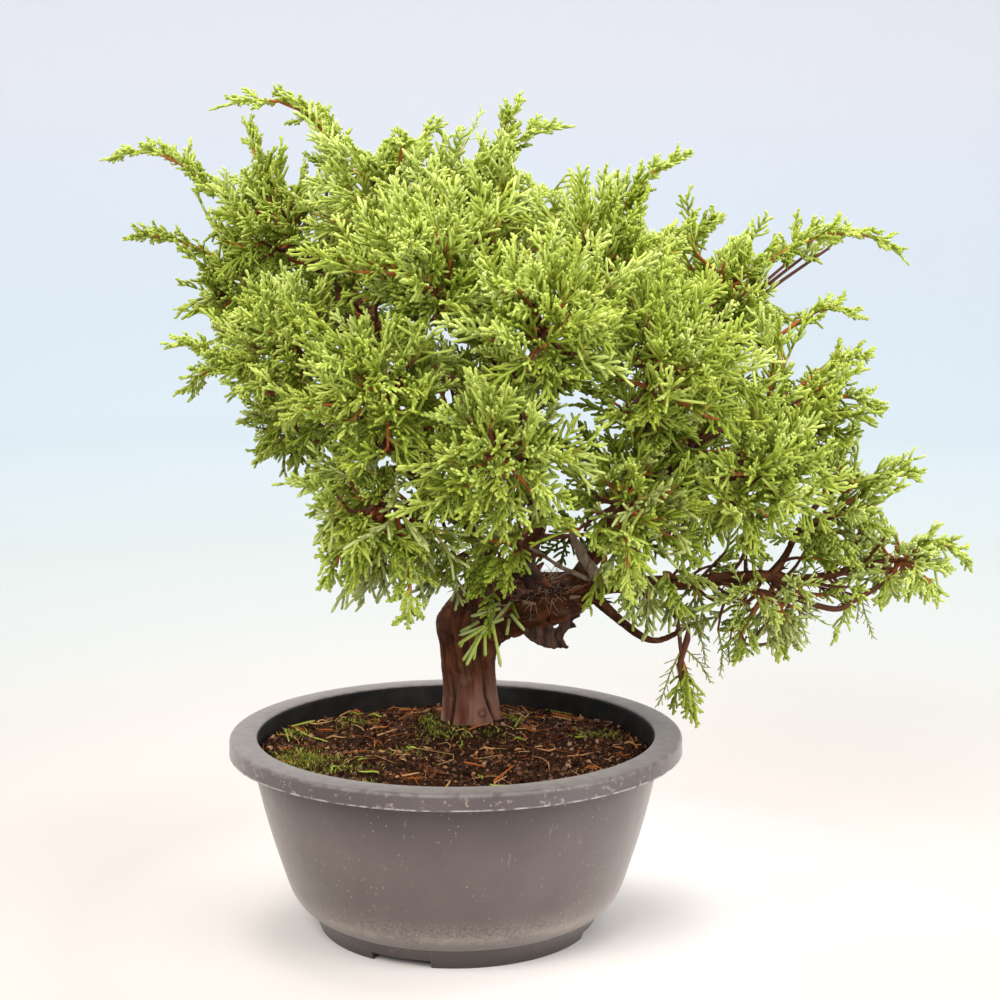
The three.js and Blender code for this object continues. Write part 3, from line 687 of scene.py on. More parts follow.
# long shoots that take a path of their own: the mass, and which of its shoots
shootPaths = {
    ("top_left", 0): [(-81, 45, 278), (-92, 45, 287), (-103, 45, 296), (-113, 45, 304), (-125, 45, 308),
                      (-144, 45, 304)],
    ("top_left", 1): [(-42, 42, 282), (-48, 42, 298), (-53, 42, 316), (-65, 42, 326), (-82, 42, 328),
                      (-99, 42, 324)],
    ("top_left", 2): [(-70, 42, 275), (-75, 40, 288), (-79, 40, 304), (-85, 40, 322)],
    ("top_left", 3): [(-40, 38, 285), (-46, 35, 303), (-54, 35, 319), (-67, 35, 330)],
    ("left_high", 0): [(-90, 48, 260), (-100, 48, 266), (-110, 48, 271), (-124, 48, 274), (-136, 48, 272)],
    ("left_front", 0): [(-67, -8, 218), (-79, -8, 222), (-91, -8, 227), (-102, -8, 233), (-112, -8, 231)],
    ("left_front", 1): [(-71, -12, 214), (-82, -12, 223), (-94, -12, 223), (-105, -12, 214)],
    ("top_crest", 0): [(10, 26, 292), (16, 26, 304), (20, 26, 317), (28, 26, 328)],
    ("top_crest", 1): [(4, 22, 277), (9, 22, 289), (14, 22, 301), (23, 22, 310), (35, 22, 315),
                       (48, 22, 317)],
    ("top_right", 0): [(58, 0, 273), (65, 0, 285), (74, 0, 296), (84, 0, 302), (92, 0, 306)],
    ("right_high", 0): [(108, 22, 252), (122, 22, 262), (136, 22, 270), (150, 22, 275), (162, 22, 275),
                        (174, 22, 270),
                        (182, 22, 262)],
    ("right_high", 1): [(83, 30, 262), (91, 30, 269), (99, 30, 277), (107, 30, 282)],
    ("right", 0): [(122, 8, 231), (132, 8, 238), (141, 8, 244), (151, 8, 246), (163, 8, 241)],
    ("right", 1): [(131, 0, 212), (142, 0, 221), (152, 0, 227), (164, 0, 227)],
    ("right_low", 0): [(153, 6, 167), (166, 6, 175), (177, 6, 180), (186, 6, 177)],
    ("right_tip", 0): [(176, 14, 139), (187, 14, 149), (198, 14, 150), (209, 14, 143)],
}
# places that the photo shows through a gap in the leaves, how wide, and whether the sky shows behind
sightGaps = [([43, 8, 141], 12, False), ([150, 2, 130], 6, True), ([133, 4, 147], 5, True)]
# the same for the sky round the crown: sideways and up, and how wide
skyGaps = [(141, 231, 7.5), (37, 298, 6.5), (176, 167, 6.5), (150, 238, 6), (-33, 313, 6), (-101, 285, 5.5),
           (108, 279, 5), (79, 281, 5), (130, 249, 5), (157, 213, 4.5), (165, 186, 4.5), (102, 274, 4.5),
           (-99, 240, 4.5), (-99, 277, 4.5), (36, 309, 4.5), (-104, 262, 4.5), (-62, 298, 3.5),
           (-104, 253, 4),
           (-105, 291, 4), (-20, 314, 4), (31, 304, 4), (26, 303, 3.5), (119, 272, 4), (-111, 269, 4),
           (37, 287, 3.5), (-60, 160, 4), (-62, 148, 7), (-72, 168, 8), (41, 305, 4), (125, 261, 3.5),
           (93, 285, 3.5), (-88, 316, 3),
           (-15, 315, 4), (-26, 315, 3.5), (85, 279, 3.5), (156, 210, 3.5), (180, 157, 3), (-111, 278, 3),
           (157, 124, 3),
           (128, 260, 3.5), (97, 269, 3), (-49, 146, 3.5), (-51, 139, 3.5), (-82, 197, 3.5), (7, 309, 3),
           (176, 124, 4.5), (145, 118, 4), (132, 230, 3.5), (162, 218, 3.5), (163, 192, 3.5),
           (-73, 184, 3.5), (185, 161, 3.5), (191, 140, 3)]
sightGaps += [([x, 0, z], radius, True) for x, z, radius in skyGaps]
goldenAngle = math.pi * (3 - math.sqrt(5))
up = np.array([0, 0, 1.0])
rng = np.random.default_rng(crown["seed"])


def seeded(seed):
    return (math.sin(seed * 12.9898 + 4.1414) * 43758.5453) % 1


def heading(azimuth, elevation):
    a, e = math.radians(azimuth), math.radians(elevation)
    return np.array([math.cos(a) * math.cos(e), math.sin(a) * math.cos(e), math.sin(e)])


def fullReach(reach, direction):
    return 1 / np.linalg.norm(direction / np.array(reach))


limbs = {"trunk": {**lineThrough(trunk["line"]), "radii": trunk["radii"]}}


def followBough(name):
    parent, at, thick, via = boughs[name]
    heart, reach = np.array(masses[name][0], float), masses[name][1]
    start = pointOn(limbs[parent], at)
    tangent = wayOn(limbs[parent], at)
    arrival = unit((np.array(via[-1]) if via else start) - heart)
    share = crown["openShare"] if name in openMasses else crown["coreShare"]
    tip = heart + arrival * fullReach(reach, arrival) * share * 1.04
    if not via:
        sweep = (tangent + [0, 0, 0.5]) * 0.08
        via = [(start + tip) / 2 + sweep * np.linalg.norm(tip - start)]
    stem = crown["stem"]
    limbs[name] = {**lineThrough([start, *via, tip]),
                   "radii": [thick, thick * 0.8, max(thick * 0.6, stem), stem]}


for boughName in boughs:
    followBough(boughName)
# the photo shows the thin low branch nearly level
limbs["hanging"] = {**lineThrough([[55, 14, 131], [62.1, 11, 124], [69.8, 7, 118], [75.6, 4, 114.6],
                                   [81.4, 2, 114], [89.2, 1, 117.9]]), "radii": [2.4, 2.1, 1.8, 1.5, 1.2]}


def radiusOn(limb, share):
    return np.interp(share, np.linspace(0, 1, len(limb["radii"])), limb["radii"])


# spots at most 2 mm apart along every limb, and how thick it is there
limbSteps = [(limb, np.linspace(0, 1, int(limb["length"] / 2) + 2)) for limb in limbs.values()]
limbSpots = np.concatenate([pointOn(limb, shares) for limb, shares in limbSteps])
limbSizes = np.concatenate([radiusOn(limb, shares) for limb, shares in limbSteps])


def nearestLimb(place):
    return limbSpots[np.linalg.norm(limbSpots - place, axis=1).argmin()]


def clearOfLimbs(points, room):
    away = np.linalg.norm(points[:, None] - limbSpots[None], axis=2) - limbSizes[None]
    return away.min(1) > room


def clearOfGaps(points):
    # the line of sight from each gap to the camera is kept free
    free = np.ones(len(points), bool)
    eye = eyePlace()
    for place, radius, through in sightGaps:
        way = unit(eye - place)
        along = (points - place) @ way
        off = np.linalg.norm(points - place - along[:, None] * way, axis=1)
        free &= (off > radius) | ((along < -3) & (not through))
    return free


# each mass keeps to its own cell, cut off by a plane between it and each other mass. This one has no end.
anywhere = np.zeros((1, 3)), np.array([1.0])


def cellOf(name):
    heart, reach = (np.array(v, float) for v in masses[name][:2])
    normals, limits = [], []
    for other, mass in masses.items():
        if other == name:
            continue
        normal = np.array(mass[0], float) - heart
        distance = np.linalg.norm(normal)
        normal /= distance
        own = np.linalg.norm(reach * normal)
        share = own / (own + np.linalg.norm(np.array(mass[1]) * normal))
        normals.append(normal)
        limits.append(normal @ heart + distance * share)
    return np.array(normals), np.array(limits)


def cellReach(heart, direction, cell):
    lean = cell[0] @ direction
    room = cell[1] - cell[0] @ heart
    return np.min(np.where(lean > 1e-6, room / np.maximum(lean, 1e-6), 1e3))


# A cord of scale leaves: rings of corners, each turned half a corner on, closed at both ends

def cordMesh(cords, sides, rings, tones):
    # cords holds start, way, length, radius, curl and tone, each with one row a cord
    start, way, length, radius, curl, tone = cords
    count = len(start)
    flat = np.where(np.abs(way[:, 2:]) > 0.8, [[1.0, 0, 0]], [[0, 0, 1.0]])
    across = unit(np.cross(flat, way))
    over = np.cross(way, across)
    parts = []
    for k, (t, wide) in enumerate(rings):
        middle = start + way * (length * t)[:, None] + curl * t * t
        angles = 2 * math.pi * (np.arange(sides) + 0.5 * k) / sides
        ring = (np.cos(angles)[None, :, None] * across[:, None]
                + np.sin(angles)[None, :, None] * over[:, None])
        parts.append(middle[:, None] + ring * (radius * wide)[:, None, None])
    parts.append((start + way * length[:, None] + curl)[:, None])
    points = np.concatenate(parts, axis=1)
    faces, steps = [], []
    for i in range(1, sides - 1):
        faces.append((0, i + 1, i))
        steps.append(tones[0])
    for k in range(len(rings) - 1):
        for i in range(sides):
            a, b = k * sides + i, k * sides + (i + 1) % sides
            c, d = a + sides, b + sides
            faces += [(a, b, c), (b, d, c)]
            steps += [tones[k]] * 2
    last = (len(rings) - 1) * sides
    for i in range(sides):
        faces.append((last + i, last + (i + 1) % sides, len(rings) * sides))
        steps.append(tones[-1])
    faces, steps = np.array(faces), np.array(steps)
    size = points.shape[1]
    allFaces = (faces[None] + size * np.arange(count)[:, None, None]).reshape(-1, 3)
    allTones = (tone[:, None] + steps[None]).ravel()
    return points.reshape(-1, 3), allFaces, allTones


def tubeMesh(lines, radii, sides, kinds=0, flat=1.0, first=None):
    # lines holds one row of points a tube, all of one count, and radii one size a point.
    # Each ring is turned as little as can be from the one before. first is the way that the
    # rings' wide side takes at the start, and flat how thick they are beside that. kinds holds the
    # finish of each tube.
    lines, radii = np.asarray(lines, float), np.asarray(radii, float)
    count, steps = radii.shape
    way = unit(np.gradient(lines, axis=1))
    least = np.abs(way[:, 0]).argmin(1)
    across = np.empty_like(way)
    across[:, 0] = squareTo(np.eye(3)[least] if first is None else np.asarray(first), way[:, 0])
    for k in range(1, steps):
        across[:, k] = squareTo(across[:, k - 1], way[:, k])
    over = np.cross(way, across)
    angles = 2 * math.pi * np.arange(sides) / sides
    ring = (np.cos(angles)[None, None, :, None] * across[:, :, None]
            + np.sin(angles)[None, None, :, None] * over[:, :, None] * flat)
    points = (lines[:, :, None] + ring * radii[:, :, None, None]).reshape(count, -1, 3)
    faces = [(0, i + 1, i) for i in range(1, sides - 1)]
    for k in range(steps - 1):
        for i in range(sides):
            a, b = k * sides + i, k * sides + (i + 1) % sides
            faces += [(a, b, a + sides), (b, b + sides, a + sides)]
    last = (steps - 1) * sides
    faces += [(last, last + i, last + i + 1) for i in range(1, sides - 1)]
    faces = np.array(faces)
    allFaces = (faces[None] + points.shape[1] * np.arange(count)[:, None, None]).reshape(-1, 3)
    return points.reshape(-1, 3), allFaces, np.repeat(np.broadcast_to(kinds, count), len(faces))


# Sprays are grown once as lists of cords in their own plane, Y along the spray, and then placed.
# Each cord: start, end, radius, curl, parent, and rank (0 the bare stem, 1 a long cord, 2 a small one)

def newSpray():
    return {"start": [], "end": [], "radius": [], "curl": [], "parent": [], "rank": []}


def asArrays(spray):
    return {key: np.array(value) for key, value in spray.items()}


def addCord(spray, start, way, length, radius, curl, parent, rank):
    for key, value in zip(spray, (start, start + way * length, radius, curl, parent, rank)):
        spray[key].append(value)
    return len(spray["start"]) - 1


def cordPoint(spray, i, share):
    return spray["start"][i] + (spray["end"][i] - spray["start"][i]) * share + spray["curl"][i] * share ** 2


def tilted(way, face, angle, roll):
    side = np.cross(way, face)
    side = side * math.cos(roll) + face * math.sin(roll)
    return unit(way * math.cos(angle) + side * math.sin(angle))


fan = {
    "lengths": (0.2, 0.42, 0.38), "first": 0.08, "spacing": 0.074, "angle": 58, "side": 0.43, "taper": 0.5,
    "curl": 0.45, "nubs": (0.4, 0.7), "nubShare": 0.34, "nubLength": 0.5, "nubAngle": 42, "kinds": 16,
}
longFan = {
    "lengths": (0.28, 0.37, 0.35), "first": 0.2, "spacing": 0.17, "angle": 40, "side": 0.62, "taper": 0.42,
    "curl": 0.14, "nubs": (0.45, 0.7), "nubShare": 0.2, "nubLength": 0.4, "nubAngle": 30, "kinds": 8,
}
needles = {"spacing": 0.05, "angle": 58, "length": 0.2}


def growLeader(spray, lengths, sway):
    here, way = np.zeros(3), unit(np.array([sway * rng.normal(), 1, sway * rng.normal()]))
    for k, length in enumerate(lengths):
        bow = np.array([sway * rng.normal(), 0, sway * rng.normal()]) * length * 2
        addCord(spray, here, way, length, 0.95 - 0.1 * k, bow, k - 1, 0 if k == 0 else 1)
        here = cordPoint(spray, k, 1)
        way = unit(way + bow / length * 1.5)


def leaderPoint(spray, lengths, share):
    k = 0
    while k < len(lengths) - 1 and share > lengths[k]:
        share -= lengths[k]
        k += 1
    return k, cordPoint(spray, k, min(share / lengths[k], 1)), unit(spray["end"][k] - spray["start"][k])


def growFan(shape, spread, flat):
    # a spray of unit length: a stem and leader, side cords that curve up beside it, short nubs on those
    spray, face = newSpray(), up
    lengths = shape["lengths"]
    growLeader(spray, lengths, 0.06)
    share, hand = shape["first"], 1
    while share < 0.96:
        k, root, way = leaderPoint(spray, lengths, share)
        angle = math.radians(shape["angle"] * spread * (1.15 - 0.4 * share) * rng.uniform(0.8, 1.2))
        aim = tilted(way, face * hand, angle, rng.normal() * flat)
        length = shape["side"] * (1 - shape["taper"] * share) * rng.uniform(0.72, 1.15)
        curl = (way - aim * (way @ aim)) * shape["curl"] * length + face * 0.16 * rng.normal() * length
        side = addCord(spray, root, aim, length, 0.9, curl, k, 1)
        turn = hand
        for part in shape["nubs"]:
            if rng.random() > shape["nubShare"]:
                continue
            small = tilted(unit(aim + 2 * part * curl / length), face * turn,
                           math.radians(shape["nubAngle"] * rng.uniform(0.8, 1.2)), rng.normal() * flat)
            reach = shape["nubLength"] * length * (1.2 - 0.6 * part) * rng.uniform(0.7, 1.15)
            addCord(spray, cordPoint(spray, side, part), small, reach, 0.8, 0.2 * reach * aim, side, 2)
            turn = -turn
        share += shape["spacing"] * rng.uniform(0.8, 1.2)
        hand = -hand
    return asArrays(spray)


def growNeedles():
    # a thin shoot of the young kind, with needles all round
    spray, face = newSpray(), up
    lengths = (0.3, 0.36, 0.34)
    growLeader(spray, lengths, 0.05)
    share, turn = 0.12, 0.0
    while share < 0.98:
        k, root, way = leaderPoint(spray, lengths, share)
        angle = math.radians(needles["angle"] * (1.1 - 0.5 * share) * rng.uniform(0.85, 1.15))
        aim = tilted(way, face, angle, turn)
        length = needles["length"] * (1.15 - 0.6 * share) * rng.uniform(0.75, 1.1)
        addCord(spray, root, aim, length, 0.4, 0.25 * length * way, k, 2)
        turn += goldenAngle
        share += needles["spacing"] * rng.uniform(0.8, 1.2)
    spray["radius"][:3] = [0.6, 0.55, 0.5]
    return asArrays(spray)


fans = [growFan(fan, rng.uniform(0.75, 1.15), flat) for flat in np.linspace(0.4, 1.3, fan["kinds"])]
longKinds = [growFan(longFan, rng.uniform(0.7, 1.1), flat)
             for flat in np.linspace(0.2, 0.7, longFan["kinds"])]
youngKinds = [growNeedles() for i in range(5)]


def oneOf(kinds):
    return kinds[rng.integers(len(kinds))]


def newGrowth():
    return {"cords": [], "stems": [], "twigs": []}


# Placed sprays are gathered here by region of the crown

regions = {
    "upper_left": ("top_left", "left_high"),
    "lower_left": ("left_front", "left_low", "low_left"),
    "upper_front": ("front_high", "front_left", "front_mid"),
    "lower_front": ("front_low", "low_front", "low_mid"),
    "top": ("top_mid", "top_crest", "top_right"),
    "upper_right": ("right_high", "right", "front_right"),
    "lower_right": ("right_mid", "right_low", "right_tip", "right_under", "hanging"),
    "back_left": ("back_left", "back_top"),
    "back_right": ("back_low", "back_right", "back_low_right"),
}
longRings, longTones = [(0, 0.9), (0.45, 1.0), (0.91, 0.9)], [0, 1, 2]
shortRings, shortTones = [(0, 0.9), (0.85, 0.95)], [1, 2]


def placeSpray(grown, kind, root, way, face, size, tone, cell, thick=1.0, anyGap=False):
    turn = np.stack([np.cross(way, face), way, face])
    start = root + (kind["start"] @ turn) * size
    end = root + (kind["end"] @ turn) * size
    curl = (kind["curl"] @ turn) * size
    tips = end + curl
    keep = ((tips @ cell[0].T) <= cell[1] + crown["slack"]).all(1) & clearOfLimbs(tips, 0.4)
    if not anyGap:
        keep &= clearOfGaps(tips)
    for i, parent in enumerate(kind["parent"]):
        if parent >= 0 and not keep[parent]:
            keep[i] = False
    if keep.sum() < 4:
        return
    radius = crown["leafRadius"] * kind["radius"] * thick
    leafy = keep & (kind["rank"] > 0)
    grown["cords"].append((start[leafy], end[leafy], radius[leafy], curl[leafy], kind["rank"][leafy],
                           np.full(leafy.sum(), tone)))
    middle = (start[0] + end[0]) / 2 + curl[0] / 4
    # each stem's finish follows its spray's tone, so it carries the same painted light and shade
    grown["stems"].append(([root - way * 0.5, middle, end[0] + curl[0] + way * 0.5],
                           radius[0] * np.array([1.02, 0.9, 0.72]), (tone > 1) + (tone > 3)))


def toneOf(height, share, upward, more=0.0):
    # painted light and shade: sprays are paler toward the top, the outside and where they face up to the
    # light
    tone = 1.9 * (height - 150) / 140 + 2.0 * (share - 0.55) + 0.6 * upward + rng.normal() * 0.7 + 2.2
    return int(np.clip(round(tone + more), 0, 6))


def growTwig(grown, points, radii, kind, steps=7):
    curve = lineThrough(points, 8)
    shares = np.linspace(0, 1, steps)
    sizes = np.interp(shares, np.linspace(0, 1, len(radii)), radii)
    grown["twigs"].append((pointOn(curve, shares), sizes, kind))
    return curve


# long shoots: the sprays on them, from first over span of their length, one every so many millimetres,
# and past which share they may stand in a gap
shoot = {
    "first": 0.22, "span": 0.62, "every": 3.7, "least": 5, "spray": 18, "fade": 12, "free": 0.4,
    "arch": 0.1, "nearEnd": 0.24, "nearArch": 0.12, "green": 5,
}


def growShoot(grown, heart, root, azimuth, elevation, length, lean, cell, path):
    # a long shoot past the mass, orange wood inside, green and arching over at its end
    way = heading(azimuth, elevation)
    tip = heart + way * length
    arch = (squareTo(up, way) + 0.3 * squareTo(rng.normal(size=3), way)) * length
    middle = (root + tip) / 2 + arch * shoot["arch"]
    near = tip - way * length * shoot["nearEnd"] + arch * shoot["nearArch"]
    if path:
        start = nearestLimb(path[0])
        growTwig(grown, [start, (start + path[0]) / 2 + up * 2, path[0]], [1.3, 1.15, 1.0], 0)
    curve = lineThrough(path or [root, middle, near, tip], 12)
    grown["twigs"].append((pointOn(curve, np.linspace(0, 0.8, 7)), np.linspace(1.0, 0.55, 7), 1))
    ends = asArrays(growTip(curve))
    grown["cords"].append((ends["start"], ends["end"], ends["radius"], ends["curl"], ends["rank"],
                           np.full(len(ends["start"]), shoot["green"])))
    count = max(shoot["least"], int(length / shoot["every"]))
    for i in range(count):
        share = shoot["first"] + shoot["span"] * i / (count - 1)
        ahead = wayOn(curve, share)
        spin = i * math.pi + rng.normal() * 0.6
        aside = squareTo(np.cross(ahead, up) * math.cos(spin) + rng.normal(size=3) * 0.35, ahead)
        aim = unit(ahead * 0.85 + aside * 0.6 + up * 0.25 * lean)
        size = (shoot["spray"] - shoot["fade"] * share) * rng.uniform(0.8, 1.05)
        face = squareTo(up + rng.normal(size=3) * 0.4, aim)
        outer = share > shoot["free"]
        # sprays out past the mass take a paler tone: painted light
        tone = 3 + int(outer) + int(rng.random() < 0.5)
        placeSpray(grown, oneOf(fans), pointOn(curve, share), aim, face, size, tone, cell, 0.9, outer)


def growTip(curve):
    # the green end of a long shoot: a cord that goes on along it, with short ones beside it
    spray = newSpray()
    for k, (first, last) in enumerate(((0.74, 0.84), (0.84, 0.93), (0.93, 1.0))):
        start, end = pointOn(curve, first), pointOn(curve, last)
        ahead = unit(end - start)
        addCord(spray, start - ahead * 0.8, ahead, np.linalg.norm(end - start) + 0.8, (0.82, 0.7, 0.52)[k],
                np.zeros(3), k - 1, 1)
    for i in range(9):
        share = 0.76 + 0.024 * i
        ahead = wayOn(curve, share)
        face = squareTo(np.array([0.2, 0.1, 1.0]), ahead)
        aim = tilted(ahead, face * (1 - 2 * (i % 2)), math.radians(34), rng.normal() * 0.4)
        length = (5.5 - 3.6 * (share - 0.76) / 0.2) * rng.uniform(0.8, 1.15)
        addCord(spray, pointOn(curve, share), aim, length, 0.6, ahead * 0.2 * length, 0, 2)
    return spray


def growBare(grown, root, way, length, radius, forks):
    # a leafless twig that forks
    bend = squareTo(rng.normal(size=3), way) * length * 0.12
    curve = growTwig(grown, [root, root + way * length * 0.5 + bend, root + way * length],
                     [radius, radius * 0.8, radius * 0.5], 0)
    if forks:
        for share in (0.4, 0.72):
            side = squareTo(rng.normal(size=3), way)
            growBare(grown, pointOn(curve, share), unit(wayOn(curve, share) + side * 0.8),
                     length * rng.uniform(0.4, 0.65), radius * 0.62, forks - 1)


def growMass(name, order, grown):
    heart, reach, shoots, lean = masses[name]
    heart = np.array(heart, float)
    isOpen = name in openMasses
    cell = cellOf(name)
    outward = unit(heart - np.array(crown["middle"]))
    tip, arrival = pointOn(limbs[name], 1.0), wayOn(limbs[name], 1.0)
    onward = unit(arrival + outward * 0.6 + up * 0.5 * lean)

    def wholeReach(direction):
        room, full = cellReach(heart, direction, cell), fullReach(reach, direction)
        return min(room, full * (crown["fill"] if room < full * 1.6 and not isOpen else 1.0))

    axis = growTwig(grown, [tip - arrival * 1.5, tip + arrival * 4, heart,
                            heart + onward * wholeReach(onward) * 0.45], [1.5, 1.45, 1.2, 0.7], 0)
    own = {**habit, **habits.get(name, {})}
    for k, (azimuth, elevation, length) in enumerate(shoots if own["shoots"] else []):
        root = pointOn(axis, 0.45 + 0.4 * max(heading(azimuth, elevation) @ onward, 0))
        path = shootPaths.get((name, k))
        growShoot(grown, heart, root, azimuth, elevation, length, lean, anywhere if path else cell, path)
    total = own["directions"]
    for i in range(total):
        polar = math.acos(1 - (2 * i + 1) / total)
        around = i * goldenAngle + seeded(100 * (order + 1)) * 2 * math.pi
        direction = np.array([math.sin(polar) * math.sin(around), -math.cos(polar),
                              math.sin(polar) * math.cos(around)])
        if direction @ outward < crown["facing"] and not isOpen:
            continue
        far = wholeReach(direction) * rng.uniform(0.92, 1.08)
        if far < 9:
            continue
        root = pointOn(axis, np.clip(0.55 + 0.3 * (direction @ onward) + 0.16 * rng.normal(), 0.1, 0.97))
        end = heart + direction * far * crown["twigReach"] + up * lean * far * 0.08
        if not clearOfGaps(end[None])[0]:
            continue
        side = squareTo(rng.normal(size=3), direction)
        middle = (root + end) / 2 + side * far * 0.06 - up * 0.04 * far
        twig = growTwig(grown, [root, middle, end], [crown["twig"], 0.85, 0.5], int(rng.random() < 0.55))
        over = squareTo(up + rng.normal(size=3) * 0.05, direction)
        for j, share in enumerate(crown["sprayShares"]):
            if isOpen and j % 2 and rng.random() < 0.4:
                continue
            spin = goldenAngle * j + seeded(order * 50 + i) * 2 * math.pi
            aside = over * math.cos(spin) + np.cross(direction, over) * math.sin(spin)
            sideways = 0.25 if j == 0 else rng.uniform(0.6, 1.0)
            way = unit(direction * rng.uniform(0.75, 1.0) + aside * sideways + up * lean * 1.1
                       + rng.normal(size=3) * 0.1)
            size = far * crown["sprayShare"] * rng.uniform(0.85, 1.2)
            size = np.clip(size, crown["sprayLeast"], crown["sprayMost"])
            face = squareTo(up * 0.5 + rng.normal(size=3) * 0.7, way)
            spot = pointOn(twig, share)
            tone = toneOf(spot[2], 0.35 + 0.65 * share, way[2], own["tone"])
            kinds, draw = fans, rng.random()
            if draw < own["young"]:
                kinds = youngKinds
            elif draw < own["young"] + own["long"]:
                kinds, tone = longKinds, own["pale"]
            placeSpray(grown, oneOf(kinds), spot, way, face, size, tone, cell)


# nine greens from the shade to the tips, then four paler and greyer ones for the long cords. The steps are
# lit and shaded copies of one green as well as the paler young growth: a spray's step paints its light and
# shade
leafColours = [(0.058, 0.074, 0.005), (0.090, 0.116, 0.007), (0.134, 0.170, 0.011), (0.190, 0.238, 0.019),
               (0.258, 0.315, 0.031), (0.335, 0.400, 0.054), (0.405, 0.475, 0.088), (0.462, 0.530, 0.135),
               (0.515, 0.585, 0.20), (0.20, 0.22, 0.055), (0.31, 0.342, 0.098), (0.405, 0.445, 0.15),
               (0.47, 0.51, 0.20)]
deadColours = [(0.070, 0.030, 0.018), (0.15, 0.062, 0.034), (0.26, 0.13, 0.075)]
woodColours = {"oldTwig": (0.11, 0.040, 0.021), "youngTwig": (0.36, 0.105, 0.030),
               "greenTwig": (0.34, 0.27, 0.05)}


def makeLeafFinishes():
    for name, colours in (("leaf", leafColours), ("deadLeaf", deadColours)):
        for i, colour in enumerate(colours):
            plainFinish(f"{name}{i}", colour, 0.55, 0.14)
    for name, colour in woodColours.items():
        plainFinish(name, colour, 0.8, 0.15)


def joinCords(name, cords, nodes=(), kind="leaf", count=len(leafColours)):
    start, end, radius, curl, rank, tone = (np.concatenate(v) for v in zip(*cords))
    length = np.linalg.norm(end - start, axis=1)
    way = unit(end - start)
    parts = []
    for chosen, sides, rings, steps in ((rank < 2, 4, longRings, longTones),
                                        (rank == 2, 3, shortRings, shortTones)):
        values = [v[chosen] for v in (start, way, length, radius, curl, tone)]
        parts.append(cordMesh(values, sides, rings, steps))
    points, faces, tones = gathered(parts)
    leaves = joinedMesh(name, inPlace(points), faces, tones, [f"{kind}{i}" for i in range(count)])
    return finish(leaves, "foliage", *nodes)


def joinTubes(name, tubes, sides):
    parts = []
    for count in sorted({len(line) for line, radii, kind in tubes}):
        same = [tube for tube in tubes if len(tube[0]) == count]
        parts.append(tubeMesh([t[0] for t in same], [t[1] for t in same], sides, [t[2] for t in same]))
    points, faces, kinds = gathered(parts)
    return finish(joinedMesh(name, inPlace(points), faces, kinds, list(woodColours)), "bark")


inner = {
    "first": 0.3, "armFirst": 0.12, "last": 0.98, "spacing": 7.8, "twig": (13, 22),
    "sprays": (1.0, 0.7, 0.4),
    "size": (14, 20), "tone": 2,
}


def growInner(name, grown):
    # short leafy twigs along a bough, in the shade inside the crown, their tone held low as painted shade
    limb, lean = limbs[name], masses[name][3]
    first = inner["armFirst" if name == "right_tip" else "first"]
    bright = {**habit, **habits.get(name, {})}["tone"]
    count = int(limb["length"] * (inner["last"] - first) / inner["spacing"])
    for i in range(count):
        share = first + (inner["last"] - first) * (i + rng.random()) / count
        root, ahead = pointOn(limb, share), wayOn(limb, share)
        side = squareTo(rng.normal(size=3) + up * 0.8 * lean, ahead)
        way = unit(side + ahead * 0.55 + np.array([0, -0.2, 0.5 * lean]))
        length = rng.uniform(*inner["twig"])
        bend = squareTo(rng.normal(size=3), way) * length * 0.1
        twig = growTwig(grown, [root, root + way * length * 0.5 + bend, root + way * length],
                        [0.9, 0.7, 0.5], 0)
        for j, part in enumerate(inner["sprays"]):
            aside = squareTo(rng.normal(size=3), way)
            aim = unit(way + aside * (0.3 if j == 0 else 0.9) + up * 0.4 * lean)
            face = squareTo(rng.normal(size=3), aim)
            tone = int(np.clip(toneOf(root[2], 0.2, aim[2], bright), 0, inner["tone"] + bright))
            placeSpray(grown, oneOf(fans), pointOn(twig, part), aim, face, rng.uniform(*inner["size"]), tone,
                       anywhere)
